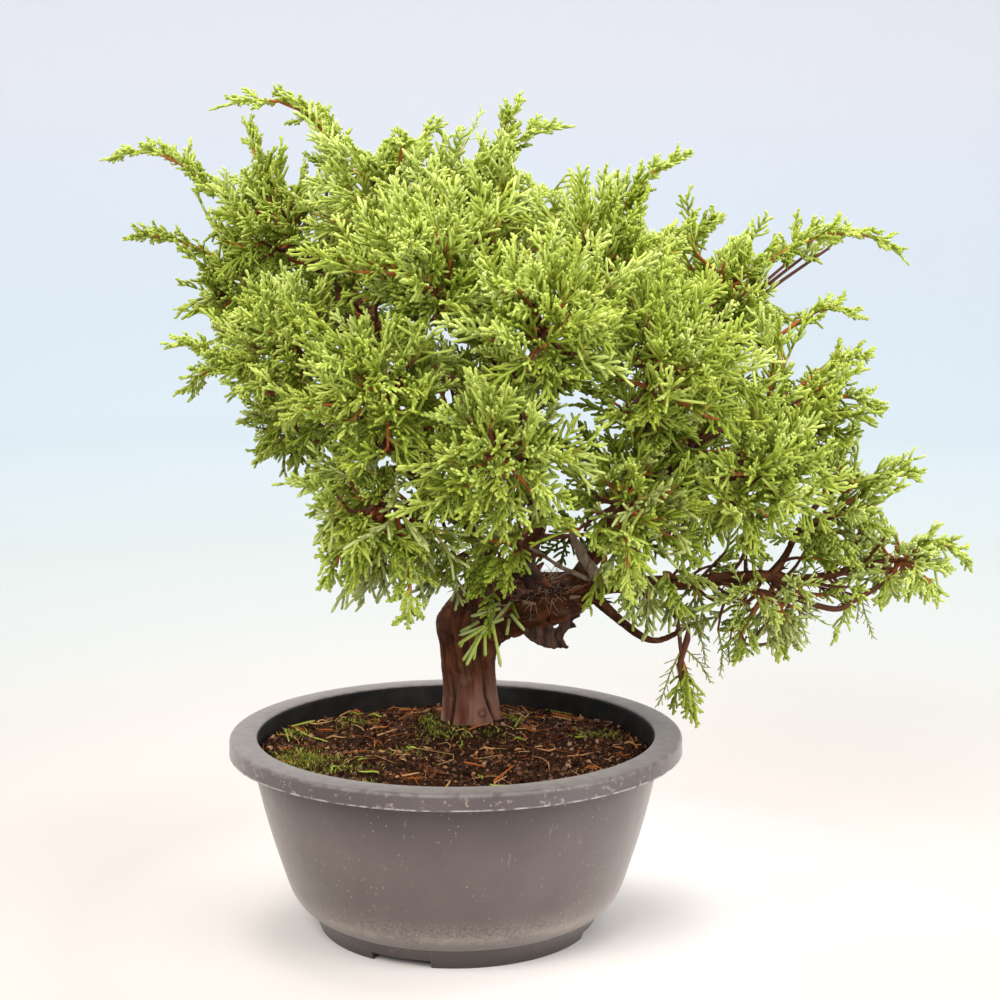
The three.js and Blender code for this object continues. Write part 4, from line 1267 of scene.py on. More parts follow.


# Sprays and twigs that the photo shows singly: kind, root, tip and tone, the tone painting each one's light
# or shade with its green
handSprays = [
    ("cord", (18.7, -8, 125.2), (0.8, -9, 118.6), 10), ("cord", (14.3, -8, 124.1), (0.5, -10, 115.2), 5),
    ("cord", (9.9, -8, 119.6), (2.4, -10, 108.4), 6), ("cord", (9.9, -9, 119.1), (3.8, -11, 106.7), 6),
    ("cord", (8.3, -8, 118.8), (6.8, -10, 108.8), 5), ("cord", (11.5, -8, 122.4), (11.5, -10, 110.1), 5),
    ("cord", (14.3, -8, 123.6), (17.6, -11, 106.1), 6), ("cord", (20.9, -7, 125), (19.8, -9, 118.6), 9),
    ("cord", (21.5, -7, 126.8), (27, -9, 120.4), 10), ("cord", (17.5, -5, 130.8), (9.6, -7, 128.6), 9),
    ("cord", (17.5, -6, 128.9), (5.5, -8, 126.1), 10), ("cord", (12.1, -3, 137), (17.6, -7, 131.9), 1),
    ("cord", (22, -2, 131), (24.6, -6, 124.6), 1), ("cord", (9, -8, 124.2), (1.5, -8, 119.8), 9),
    ("cord", (12, -8, 121.9), (9.9, -8, 119), 9), ("cord", (21.5, -4, 131), (14.6, -8, 123.6), 9),
    ("cord", (15, -8, 124.4), (9.5, -9, 118.9), 10), ("cord", (2.6, -9, 116.2), (1.6, -9, 114), 5),
    ("needle", (89.2, 0, 109.3), (79.8, 0, 88.4), 9), ("needle", (91.5, 0, 110.7), (103.9, 1, 98.1), 9),
    ("needle", (95, 1, 120.8), (101.5, 0, 104.5), 9), ("needle", (89, 1, 120.5), (100.9, 3, 120.1), 9),
    ("fan", (90.7, 0, 104.5), (95.8, -1, 82.5), 4), ("fan", (90.7, 1, 101.5), (83.5, 0, 87), 3),
    ("fan", (91.3, -1, 100.9), (88.3, -1, 85.3), 4), ("fan", (91.6, 0, 98.5), (98.5, 1, 86.2), 5),
    ("needle", (90.7, 0, 105.9), (96.7, -2, 93.7), 3), ("needle", (104.3, 0, 118.5), (107.9, 0, 99.8), 9),
    ("needle", (109.9, 1, 118), (109.5, 2, 103.8), 3), ("needle", (113, 0, 113.9), (118.4, 0, 108.2), 2),
    ("needle", (115.6, 0, 115.6), (113.1, 0, 106), 3), ("needle", (159.6, 1, 133.2), (160.9, 0, 121.5), 9),
    ("needle", (161, 1, 132.2), (166.7, 0, 115.4), 9), ("fan", (127.6, 1, 114.2), (132, 0, 106.6), 5),
    ("fan", (130.2, 1, 119.2), (134.6, 0, 110.6), 9), ("needle", (92.9, 1, 125.8), (101.7, 0, 114.2), 3),
    ("fan", (46, 40, 150), (36, 46, 139), 1), ("fan", (48, 42, 150), (44, 48, 138), 0),
    ("fan", (52, 44, 150), (52, 48, 136), 1), ("fan", (55, 44, 151), (62, 48, 139), 0),
    ("fan", (58, 44, 151), (70, 46, 142), 1), ("fan", (50, 44, 152), (46, 46, 162), 1),
    ("fan", (54, 44, 152), (56, 46, 165), 0), ("fan", (58, 44, 152), (68, 46, 158), 1),
    ("fan", (44, 38, 152), (33, 42, 150), 0), ("fan", (60, 44, 151), (76, 46, 150), 0),
]
handTwigs = [
    ([[28, 24, 154], [38, 34, 151], [50, 43, 150], [61, 45, 151]], [1.6, 1.3, 1.0, 0.7], 0),
    ([[21.4, 8, 141], [21.2, 3, 136], [21.7, -1, 131.5], [18.7, -6, 126.5], [14.3, -8, 123.8]],
     [0.8, 0.75, 0.7, 0.62, 0.5], 0),
    ([[84, 7, 138.5], [85, 6, 135], [86.7, 4, 128.1], [88.8, 1, 118.6], [89.5, 0, 110.7], [90.7, 0, 103.9],
      [91.6, 0, 97]], [1.5, 1.35, 1.2, 1.0, 0.8, 0.6, 0.45], 0),
    ([[113.6, 1, 117], [115.6, 0, 112.8], [121, 0, 112.6], [126.6, 0, 113.6]], [0.7, 0.65, 0.5, 0.4], 0),
    ([[118.3, 0, 113.5], [122.1, 0, 119.6], [127.7, 2, 123.2]], [0.65, 0.55, 0.4], 0),
    ([[110, 3, 136], [106, 1, 127], [104.3, 0, 118.5]], [0.8, 0.65, 0.45], 0),
]


# more leafy twigs: where they end, the way they hang, how many sprays, their size, tone and kind; the tone
# paints their light or shade with their green
fillTwigs = [
    ((74, -25, 134), (0, -0.2, -1), 6, 20, 9, "long"), ((64, -25, 138), (-0.2, -0.2, -1), 4, 18, 4, "fan"),
    ((86, -10, 132), (0.2, -0.2, -1), 4, 17, 9, "long"), ((55, -25, 142), (-0.1, -0.3, -1), 3, 18, 3, "fan"),
    ((81, -20, 140), (0.1, -0.2, -1), 4, 18, 4, "fan"), ((70, -22, 145), (0, -0.4, -0.9), 4, 18, 5, "fan"),
    ((-36, -40, 146), (-0.4, 0, -0.9), 5, 20, 10, "long"),
    ((-27, -40, 152), (-0.1, -0.2, -1), 4, 19, 9, "long"),
    ((-32, -30, 146), (-0.2, 0, -1), 4, 18, 10, "long"), ((-44, -30, 156), (-0.7, 0, -0.6), 4, 18, 4, "fan"),
    ((-43, -30, 170), (-0.8, -0.1, -0.3), 4, 18, 4, "fan"),
    ((-10, -5, 137), (-0.6, -0.3, -0.8), 4, 16, 10, "long"),
    ((-5, -6, 144), (-0.5, -0.3, -0.7), 4, 16, 4, "fan"),
    ((2, -12, 146), (-0.2, -0.5, -0.8), 3, 15, 4, "fan"),
    ((7, -14, 142), (0.2, -0.5, -0.9), 3, 14, 3, "fan"),
    ((-13, -15, 152), (-0.6, -0.3, -0.6), 4, 17, 5, "fan"),
    ((-48, 0, 181), (-0.7, -0.1, -0.3), 5, 18, 3, "fan"),
    ((-42, -10, 179), (-0.6, -0.3, -0.3), 4, 18, 4, "fan"),
    ((-73, 22, 279), (-0.2, -0.9, 0.3), 5, 18, 4, "fan"), ((-50, 40, 313), (0, -0.1, 1), 3, 13, 5, "fan"),
    ((22, 12, 306), (0.1, -0.1, 1), 3, 13, 5, "fan"),
    ((132, 24, 266), (0.1, -0.1, 1), 3, 14, 4, "fan"), ((142, 26, 270), (0.3, -0.1, 1), 3, 13, 5, "fan"),
    ((152, 28, 272), (0.5, -0.1, 0.9), 3, 12, 5, "fan"), ((101, 0, 138), (0, -0.2, -1), 3, 15, 9, "long"),
    ((115, 0, 154), (0.1, -0.2, -0.9), 3, 15, 4, "fan"), ((95, 0, 130), (-0.1, -0.1, -1), 3, 15, 9, "long"),
]


def growFill(grown, place, way, count, size, tone, kind):
    way = unit(np.array(way, float))
    end = np.array(place, float) - way * size * 0.3
    root = nearestLimb(end)
    twig = growTwig(grown, [root, (root + end) / 2 + up * 1.5, end], [0.95, 0.8, 0.6], 0)
    kinds = {"long": longKinds, "fan": fans}[kind]
    for i in range(count):
        aim = unit(way + rng.normal(size=3) * (0.15 if i == 0 else 0.45))
        face = squareTo(np.array([0, -1.0, 0.3]) + rng.normal(size=3) * 0.6, aim)
        placeSpray(grown, oneOf(kinds), pointOn(twig, 1 - 0.5 * i / count), aim, face,
                   size * rng.uniform(0.85, 1.1), tone, anywhere)


def growByHand(grown):
    for place, way, count, size, tone, kind in fillTwigs:
        growFill(grown, place, way, count, size, tone, kind)
    for points, radii, kind in handTwigs:
        growTwig(grown, points, radii, kind, 16)
    for kind, root, tip, tone in handSprays:
        root, tip = np.array(root, float), np.array(tip, float)
        size, way = np.linalg.norm(tip - root), unit(tip - root)
        if kind == "cord":
            bend = squareTo(rng.normal(size=3), way)[None] * size * 0.06
            grown["cords"].append((root[None], tip[None] - bend, np.full(1, 0.8), bend, np.full(1, 1),
                                   np.full(1, tone)))
            continue
        kinds = youngKinds if kind == "needle" else fans
        face = squareTo(np.array([0, -1.0, 0.3]) + rng.normal(size=3) * 0.2, way)
        placeSpray(grown, oneOf(kinds), root, way, face, size, tone, anywhere)


# dead brown sprays: where they hang, how many, and their size
deadSprays = [([20, 1, 139], 8, 13), ([24, 3, 131], 5, 11), ([86, -14, 183], 5, 16), ([90, -16, 172], 4, 14)]
bareArm = {
    "limb": "right_tip", "first": 0.3, "last": 0.85, "count": 16, "length": (10, 22), "radius": 0.75,
    "arc": [[126, 1, 139.5], [134, 2, 132], [142, 2, 128.5], [152.5, 0, 126.8], [157.6, 0, 129.7],
            [167.3, 3, 134.3], [173, 6, 138]], "arcRadii": [1.5, 1.3, 1.2, 0.9],
}


def growDead(grown, place, count, size):
    place = np.array(place, float)
    root = nearestLimb(place)
    away = unit(place - root)
    twig = growTwig(grown, [root, (root + place) / 2 + up * 1.5, place], [1.0, 0.8, 0.5], 0)
    for i in range(count):
        way = unit(away * 0.5 + rng.normal(size=3) * 0.7 - up * 0.6)
        kinds = youngKinds if i % 2 else fans
        placeSpray(grown, oneOf(kinds), pointOn(twig, rng.uniform(0.55, 1)), way,
                   squareTo(rng.normal(size=3), way), size * rng.uniform(0.8, 1.15), 0, anywhere, 0.8)


def makeDeadSprays():
    grown = newGrowth()
    for place, count, size in deadSprays:
        growDead(grown, place, count, size)
    dead = joinCords("dead_sprays", grown["cords"], (), "deadLeaf", len(deadColours))
    print("dead sprays:", len(dead.data.polygons), "faces")
    return grown


def growBareArm(grown):
    # the leafless twigs of the long low arm
    limb = limbs[bareArm["limb"]]
    growTwig(grown, bareArm["arc"], bareArm["arcRadii"], 0, 24)
    for share in np.linspace(bareArm["first"], bareArm["last"], bareArm["count"]):
        ahead = wayOn(limb, share)
        side = squareTo(rng.normal(size=3) - up * 0.5, ahead)
        growBare(grown, pointOn(limb, share), unit(ahead + side), rng.uniform(*bareArm["length"]),
                 bareArm["radius"], 2)


def makeCrown():
    order = {name: i for i, name in enumerate(masses)}
    total = 0

    def join(name, grown, nodes=()):
        leaves = joinCords("leaves_" + name, grown["cords"], nodes)
        print("leaves", name, len(grown["stems"]), "sprays", len(leaves.data.polygons), "faces")
        return len(leaves.data.polygons)

    shade, single = newGrowth(), newGrowth()
    for name in boughs:
        if name != "hanging":
            growInner(name, shade)
    growBareArm(single)
    growByHand(single)
    total += join("inner", shade) + join("single", single)
    groups = [shade, single, makeDeadSprays()]
    for region, names in regions.items():
        grown = newGrowth()
        for name in names:
            growMass(name, order[name], grown)
        total += join(region, grown, ["foliage_" + n for n in names])
        groups.append(grown)
    twigs = [twig for grown in groups for twig in grown["twigs"]]
    stems = [stem for grown in groups for stem in grown["stems"]]
    print("crown:", total, "leaf faces")
    print("twigs:", len(joinTubes("twigs", twigs, 5).data.polygons), "faces")
    print("stems:", len(joinTubes("stems", stems, 4).data.polygons), "faces")


# Trunk and boughs: tubes along the limbs, fused, with the bark's relief worked in

bark = {
    "voxel": 0.85, "rings": 3.0, "sides": 16, "trunkSmooth": 0.4, "limbRough": 1.0, "grain": 0.16,
    "flare": 0.3, "flareTop": 88,
    "swells": [((26, 20, 116), 9, 3.6), ((21, 22, 110), 7, 2.0), ((34, 17, 120), 8, 2.2),
               ((40, 11, 134), 7, 1.2),
               ((39, 16, 121), 8, 2.6), ((48, 14, 124), 7, 2.6), ((-6, 25, 119), 8, 2.2)],
}
# direction round the foot in degrees, lowest and highest point, depth, half width and slant
creases = [(-132, 72, 106, 1.7, 0.7, 0), (-54, 72, 104, 1.6, 0.65, 1.2), (20, 72, 98, 1.6, 0.9, 0),
           (70, 72, 94, 1.3, 0.8, 0), (118, 72, 100, 1.7, 0.9, 0), (165, 72, 92, 1.3, 0.8, 0)]
# direction, height, radius, and how far the knot or the pit stands out
knots = [(-67, 81, 1.05, 0.7), (-113, 98, 0.7, -0.9), (-80, 108, 2.2, 0.4), (-140, 112, 2.0, 0.4),
         (40, 104, 2.6, 0.8),
         (150, 96, 2.0, 0.7)]


def limbTable():
    spots, ways, sizes, fars, trunks = [], [], [], [], []
    for name, limb in limbs.items():
        shares = np.linspace(0, 1, int(limb["length"]) + 2)
        spots.append(pointOn(limb, shares))
        ways.append(unit(np.gradient(spots[-1], axis=0)))
        sizes.append(radiusOn(limb, shares))
        fars.append(shares * limb["length"])
        trunks.append(np.full(len(shares), name == "trunk"))
    spots, ways, sizes, fars, trunks = (np.concatenate(v) for v in (spots, ways, sizes, fars, trunks))
    tree = KDTree(len(spots))
    for i, spot in enumerate(spots):
        tree.insert(spot, i)
    tree.balance()
    return tree, spots, ways, sizes, fars, trunks


def makeBark():
    parts = []
    for limb in limbs.values():
        shares = np.linspace(0, 1, max(4, int(limb["length"] / bark["rings"])))
        parts.append(tubeMesh([pointOn(limb, shares)], [radiusOn(limb, shares)], bark["sides"]))
    wood = joinedMesh("bark", *gathered(parts)[:2])
    fuse = wood.modifiers.new("fuse", "REMESH")
    fuse.mode = "VOXEL"
    fuse.voxel_size = bark["voxel"]
    even = wood.modifiers.new("even", "SMOOTH")
    even.factor, even.iterations = 0.5, 4
    applyModifiers(wood)
    table = limbTable()
    refineTrunk(wood, table)
    relief(wood, table)
    settle(wood, "barkSkin")
    print("bark:", len(wood.data.polygons), "faces")
    finish(wood, "bark", "trunk", *["bough_" + name for name in boughs])


def readPoints(mesh, what="co"):
    values = np.empty(len(mesh.vertices) * 3, np.float32)
    mesh.vertices.foreach_get(what, values)
    return values.reshape(-1, 3).astype(float)


def refineTrunk(wood, table):
    # the trunk gets four times as many faces as the boughs
    tree, spots, ways, sizes, fars, trunks = table
    places = readPoints(wood.data)
    near = np.array([trunks[tree.find(p)[1]] for p in places])
    chosen = np.array([near[list(face.vertices)].all() for face in wood.data.polygons])
    onlySelect(wood)
    bpy.ops.object.mode_set(mode="EDIT")
    bpy.ops.mesh.select_mode(type="FACE")
    bpy.ops.mesh.select_all(action="DESELECT")
    bpy.ops.object.mode_set(mode="OBJECT")
    wood.data.polygons.foreach_set("select", chosen)
    bpy.ops.object.mode_set(mode="EDIT")
    bpy.ops.mesh.subdivide(number_cuts=1, smoothness=0.5)
    bpy.ops.object.mode_set(mode="OBJECT")


def footRelief(out, place):
    # what the creases, knots and the flare at the foot add, and the shade painted in the creases and round
    # the knots, for a point of the upright trunk
    turn = math.degrees(math.atan2(out[1], out[0]))
    size = math.hypot(out[0], out[1])
    z, push, shade = place[2], 0.0, 0.0
    for angle, low, high, depth, width, slant in creases:
        bend = 4 * math.sin(z * 0.16 + angle) + max(0, bark["flareTop"] - z) * slant
        off = abs((turn - angle - bend + 180) % 360 - 180) * math.pi / 180 * size
        fade = min(max((high - z) / (high - low) * 1.6, 0), 1)
        cut = math.exp(-(off / width) ** 2) * fade
        push -= cut * depth
        push += 0.35 * depth * math.exp(-((off - 2.4 * width) / (1.3 * width)) ** 2) * fade
        shade = max(shade, cut)
    for angle, high, wide, rise in knots:
        off = abs((turn - angle + 180) % 360 - 180) * math.pi / 180 * size
        far = math.hypot(off, z - high) / wide
        push += rise * math.exp(-far ** 2) - 0.4 * abs(rise) * math.exp(-((far - 1.5) / 0.4) ** 2)
        shade = max(shade, 0.6 * math.exp(-((far - (1.4 if rise > 0 else 0)) / 0.5) ** 2))
    low = max(0, (bark["flareTop"] - z) / (bark["flareTop"] - trunk["ground"]))
    push += bark["flare"] * min(low, 1.3) ** 1.6
    return push, shade


def relief(wood, table):
    # long ridges, cracks and flakes that run with the grain of the nearest limb, with painted shade kept in
    # the cracks and hollows
    tree, spots, ways, sizes, fars, trunks = table
    places, normals = readPoints(wood.data), readPoints(wood.data, "normal")
    count = len(places)
    grain, push, shade = np.empty((count, 3)), np.empty(count), np.empty(count)
    for i, place in enumerate(places):
        nearest = tree.find(place)[1]
        way, size = ways[nearest], sizes[nearest]
        out = place - spots[nearest]
        out = out - way * (out @ way)
        g = out + way * fars[nearest] * bark["grain"]
        grain[i] = g
        rough = min(size / 10, 1.2)
        upright = trunks[nearest] and way[2] > 0.75
        if trunks[nearest]:
            rough *= bark["trunkSmooth"] if upright else bark["limbRough"]
        ridge = noise.noise(Vector(g) * 0.28)
        crack = max(0, 1 - abs(noise.noise(Vector(g) * 0.2 + Vector((5, 3, 1)))) / 0.07)
        plate = noise.noise(Vector(g * 0.5) + Vector((9, 0, 0)))
        plate = min(max((plate - 0.02) / 0.12, 0), 1)
        fine = noise.noise(Vector(g * 1.4))
        push[i] = rough * (1.1 * ridge - 1.0 * crack + 0.5 * plate) + (0.08 + 0.14 * rough) * fine
        shade[i] = min(crack * (0.5 + 0.5 * rough) + max(0, -ridge) * 0.5, 1)
        if upright:
            more, dark = footRelief(out, place)
            push[i] += more
            shade[i] = max(shade[i] * 0.5, dark)
        for middle, wide, rise in bark["swells"]:
            push[i] += rise * math.exp(-np.sum((place - middle) ** 2) / wide ** 2)
    places += normals * push[:, None]
    mesh = wood.data
    mesh.vertices.foreach_set("co", places.astype(np.float32).ravel())
    layer = mesh.attributes.new("grain", "FLOAT_VECTOR", "POINT")
    layer.data.foreach_set("vector", (grain * mm).astype(np.float32).ravel())
    layer = mesh.attributes.new("shade", "FLOAT", "POINT")
    layer.data.foreach_set("value", shade.astype(np.float32))
    mesh.update()


def attributeOf(nodes, name):
    node = nodes.new("ShaderNodeAttribute")
    node.attribute_name = name
    return node


def makeBarkSkin():
    skin, nodes, link = newMaterial("barkSkin")
    grain = attributeOf(nodes, "grain").outputs["Vector"]
    base = rampOf(nodes, [(0.30, (0.032, 0.008, 0.003)), (0.44, (0.062, 0.017, 0.006)),
                          (0.56, (0.098, 0.029, 0.010)), (0.70, (0.16, 0.054, 0.020))])
    link(noiseOf(nodes, link, grain, 420, 5, 0.6), base.inputs["Fac"])
    place = objectPlace(nodes)
    rust = patchyOf(nodes, link, grain, 260, 4, 0.52, 0.66)
    colour = painted(nodes, link, base.outputs["Color"], (0.23, 0.075, 0.028), rust, 0.55)
    low = groupOf(nodes, link, "band", place, Height=0.072, Spread=0.029)
    patches = patchyOf(nodes, link, grain, 150, 3, 0.30, 0.55)
    purple = mixOf(nodes, link, patches, (0.125, 0.034, 0.021), (0.22, 0.108, 0.074))
    greyed = nodes.new("ShaderNodeMapRange")
    greyed.inputs["From Max"].default_value = 0.5
    link(low, greyed.inputs["Value"])
    colour = painted(nodes, link, colour, purple, greyed.outputs[0], 0.82)
    worn = patchyOf(nodes, link, place, 62, 3, 0.50, 0.60)
    colour = painted(nodes, link, colour, (0.40, 0.29, 0.20), worn, 0.6, greyed.outputs[0])
    lichen = patchyOf(nodes, link, place, 130, 5, 0.60, 0.72)
    colour = painted(nodes, link, colour, (0.20, 0.19, 0.12), lichen, 0.35)
    # painted shade in the cracks, creases and hollows and round the knots
    dark = attributeOf(nodes, "shade").outputs["Fac"]
    colour = painted(nodes, link, colour, (0.012, 0.005, 0.004), dark, 0.85)
    link(colour, skin.inputs["Base Color"])
    skin.inputs["Roughness"].default_value = 0.6
    skin.inputs["Specular IOR Level"].default_value = 0.12
    coarse = bumpOf(nodes, link, noiseOf(nodes, link, grain, 600, 4, 0.65), 0.0012, 0.6)
    fine = noiseOf(nodes, link, grain, 2200, 4, 0.65)
    link(bumpOf(nodes, link, fine, 0.0005, 0.6, coarse), skin.inputs["Normal"])


# Loose bark on the limb: flakes that peel, and a tuft of pale fibres

peel = {
    "flakes": 80, "span": (0.52, 0.99), "length": (4, 12), "width": (0.7, 2.2), "lift": (0.3, 1.9),
    "tuft": 170, "tuftAt": (0.76, 0.87), "tuftTurn": (0, 55), "fibre": 0.12,
    "plates": 12, "plateAt": (29, 11, 141), "plateSpread": (4.5, 1.5, 4.5), "plateWay": (0.75, -0.1, -0.6),
}
flakeColours = {"flakeDark": (0.05, 0.017, 0.010), "flakeRust": (0.22, 0.068, 0.022),
                "flakeTan": (0.36, 0.21, 0.12), "fibre": (0.46, 0.32, 0.20)}


def limbSurface(share, turn):
    # a point of the trunk's surface, turned up from its front, with the way out and the way along
    limb = limbs["trunk"]
    middle, way = pointOn(limb, share), wayOn(limb, share)
    front = squareTo(np.array([0, -1.0, 0]), way)
    over = squareTo(np.array([0, 0, 1.0]) if abs(way[2]) < 0.9 else np.array([-1.0, 0, 0]), way)
    over = squareTo(over, front)
    out = front * math.cos(math.radians(turn)) + over * math.sin(math.radians(turn))
    return middle + out * radiusOn(limb, share), out, way


def makeLooseBark():
    lines, widths, firsts, kinds = [], [], [], []
    for i in range(peel["flakes"]):
        share = rng.uniform(*peel["span"])
        turn = rng.uniform(-70, 130) if rng.random() < 0.8 else rng.uniform(0, 360)
        spot, out, way = limbSurface(share, turn)
        way = way * rng.choice([-1, 1])
        length, lift = rng.uniform(*peel["length"]), rng.uniform(*peel["lift"])
        side = np.cross(out, way) * rng.normal() * 0.25
        steps = np.linspace(0, 1, 5)[:, None]
        lines.append(spot - out * 0.4 + (way + side) * length * steps + out * lift * steps ** 2)
        wide = rng.uniform(*peel["width"])
        widths.append(wide * np.array([0.7, 1.0, 0.9, 0.75, 0.3]) * rng.uniform(0.85, 1.15, 5))
        firsts.append(np.cross(out, way))
        kinds.append(rng.choice([0, 1, 2], p=[0.45, 0.4, 0.15]))
    for i in range(peel["plates"]):
        start = np.array(peel["plateAt"]) + rng.uniform(-1, 1, 3) * peel["plateSpread"]
        way = unit(np.array(peel["plateWay"]) + rng.normal(size=3) * 0.25)
        steps = np.linspace(0, 1, 5)[:, None]
        lines.append(start + way * rng.uniform(6, 11) * steps + np.array([0, -2.5, 1]) * steps * (1 - steps))
        widths.append(rng.uniform(1.2, 2.4) * np.array([0.5, 1.0, 1.05, 0.9, 0.5]))
        firsts.append(np.cross(way, [0, -1.0, 0.3]))
        kinds.append(rng.choice([0, 1, 1, 2]))
    flakes = tubeMesh(lines, widths, 4, kinds, 0.14, firsts)
    hairs, sizes = [], []
    for i in range(peel["tuft"]):
        share = rng.uniform(*peel["tuftAt"])
        spot, out, way = limbSurface(share, rng.uniform(*peel["tuftTurn"]))
        aim = unit(way * rng.normal() + out * rng.uniform(0.1, 0.7) + np.cross(out,
                                                                               way) * rng.normal() * 0.8)
        length = rng.uniform(3, 9)
        steps = np.linspace(0, 1, 5)[:, None]
        bow = unit(rng.normal(size=3) - out) * steps ** 2 * length * 0.4
        hairs.append(spot - out * 0.3 + aim * length * steps + bow)
        sizes.append(np.array([1, 1, 0.9, 0.7, 0.4]) * peel["fibre"] * rng.uniform(0.8, 1.8))
    tuft = tubeMesh(hairs, sizes, 3, rng.choice([2, 3], len(hairs), p=[0.3, 0.7]))
    points, faces, tones = gathered([flakes, tuft])
    loose = joinedMesh("loose_bark", inPlace(points), faces, tones, list(flakeColours))
    print("loose bark:", len(loose.data.polygons), "faces")
    finish(loose, "bark")


# Dead wood: a broad torn stub under the limb with a hole through it, and two bare grey twigs

stub = {
    "outline": [(24, 126), (24.6, 120), (27, 116), (29, 114), (31, 112.6), (33.4, 111.2), (36.3, 110.4),
                (38.5, 109.8),
                (40, 109.2), (41, 110), (42.4, 109.8), (43.6, 110.2), (45, 109.4), (46, 110.2),
                (44.2, 111.8),
                (43.5, 113.2), (43.4, 114.8), (44.2, 116.4), (45.2, 117.6), (47, 118.2), (49, 118.6),
                (48, 119.6),
                (46.9, 120.8), (48, 122), (50, 123), (50.5, 126)],
    "front": 12.5, "depth": 5.5, "drop": 1.6, "voxel": 0.4, "hole": (40.3, 119.7), "holeRadius": 1.25,
    "holeTilt": 11.5,
}
deadTwigs = [([[58.5, 10, 135], [57.4, 10, 137], [53.4, 9, 143.2], [50, 8, 148.3], [47.2, 7, 154],
               [44.5, 5, 160]],
              [2.7, 2.6, 2.3, 2.1, 1.5, 0.8]),
             ([[57, 11.5, 135.5], [54.1, 11, 136.9], [43.8, 8, 142.1], [35.7, 5, 147.5], [28.9, 2, 151.7]],
              [1.1, 1.0, 0.85, 0.7, 0.5])]


def makeStub():
    outline = stub["outline"]
    piece = drawnLine("torn_stub", [(x, stub["front"], z) for x, z in outline])
    bpy.ops.mesh.edge_face_add()
    bpy.ops.mesh.extrude_region_move(TRANSFORM_OT_translate={"value": (0, stub["depth"], 0)})
    bpy.ops.mesh.select_all(action="SELECT")
    bpy.ops.mesh.normals_make_consistent(inside=False)
    bpy.ops.object.mode_set(mode="OBJECT")
    bpy.ops.object.select_all(action="DESELECT")
    bpy.ops.mesh.primitive_cylinder_add(vertices=16, radius=stub["holeRadius"], depth=4 * stub["depth"])
    cutter = bpy.context.object
    cutter.rotation_euler.x = math.radians(90 - stub["holeTilt"])
    cutter.scale.y = 1.5
    middle = stub["front"] + stub["depth"] / 2
    cutter.location = (stub["hole"][0], middle, stub["hole"][1])
    cutOut(piece, cutter)
    fuse = piece.modifiers.new("fuse", "REMESH")
    fuse.mode = "VOXEL"
    fuse.voxel_size = stub["voxel"]
    even = piece.modifiers.new("even", "SMOOTH")
    even.factor, even.iterations = 0.5, 1
    applyModifiers(piece)
    print("stub:", len(piece.data.polygons), "faces")
    places, normals = readPoints(piece.data), readPoints(piece.data, "normal")
    top = max(z for x, z in outline)
    for i, place in enumerate(places):
        bend = 1.1 * noise.noise(Vector(place) * 0.17)
        g = Vector((place[0] * 0.42 + bend, place[1] * 0.5, place[2] * 0.24 + bend))
        rough = 1.1 * noise.noise(g) + 0.5 * noise.noise(g * 2.3) + 0.35 * noise.noise(g * 5) - 0.25
        down = min((top - place[2]) / 18, 1)
        places[i] = place + normals[i] * rough * (0.4 + abs(normals[i][1]))
        places[i][1] = middle + (places[i][1] - middle) * (1 - 0.6 * down) + 1.5 * noise.noise(g * 0.6)
    piece.data.vertices.foreach_set("co", places.astype(np.float32).ravel())
    settle(piece, "tornWood", None, stub["drop"])
    finish(piece, "dead_wood", "dead_stub")


def makeDeadTwigs():
    parts = []
    for line, radii in deadTwigs:
        curve = lineThrough(line)
        shares = np.linspace(0, 1, 60)
        path = pointOn(curve, shares)
        size = np.interp(shares, np.linspace(0, 1, len(radii)), radii)
        for i, spot in enumerate(path):
            size[i] *= 1 + 0.22 * noise.noise(Vector(spot * 0.35)) + 0.1 * noise.noise(Vector(spot * 1.2))
        sway = [[noise.noise(Vector(p * 0.2)), noise.noise(Vector(p * 0.2 + 7)), 0] for p in path]
        parts.append(tubeMesh([path + np.array(sway)], [size], 14))
    points, faces = gathered(parts)[:2]
    twigs = joinedMesh("bare_twigs", inPlace(points), faces)
    giveMaterial(twigs, "greyWood")
    print("dead twigs:", len(twigs.data.polygons), "faces")
    finish(twigs, "dead_wood", "dead_twigs")


def makeDeadFinishes():
    for name, dark, light, scale in (("tornWood", (0.022, 0.009, 0.006), (0.15, 0.066, 0.038), 420),
                                     ("greyWood", (0.11, 0.070, 0.042), (0.36, 0.26, 0.17), 700)):
        wood, nodes, link = newMaterial(name)
        place = stretched(nodes, link, objectPlace(nodes), 0.25)
        base = rampOf(nodes, [(0.32, dark), (0.66, light)])
        link(noiseOf(nodes, link, place, scale, 5, 0.6), base.inputs["Fac"])
        link(base.outputs["Color"], wood.inputs["Base Color"])
        wood.inputs["Roughness"].default_value = 0.85
        fine = noiseOf(nodes, link, place, scale * 2, 5, 0.65)
        link(bumpOf(nodes, link, fine, 0.0008, 0.8), wood.inputs["Normal"])
    for name, colour in flakeColours.items():
        plainFinish(name, colour, 0.8)


# Soil: a lumpy bed, crumbs and grit, moss, and dead bits of foliage that fell on it

soil = {
    "edge": 69.8, "flat": 72.5, "flatRadius": 40, "side": 78.2, "mound": 76.9, "moundTop": 17,
    "moundFoot": 44,
    "foot": (5, 26), "footRoom": 12.5, "rings": 52, "steps": 160,
    "heap": 3.2, "heapAt": (-75, 2), "heapWide": (11, 30),
}
litter = {
    "crumbs": 2500, "crumbSize": (0.5, 1.5), "grit": 4400, "gritSize": (0.25, 0.7), "bits": 105,
    "bitLength": (3, 12), "bitSize": (0.2, 0.42), "fibres": 210, "fresh": 15, "moss": 2300,
    "mossHeight": (0.8, 2.4),
    "stalkReach": 74,
}
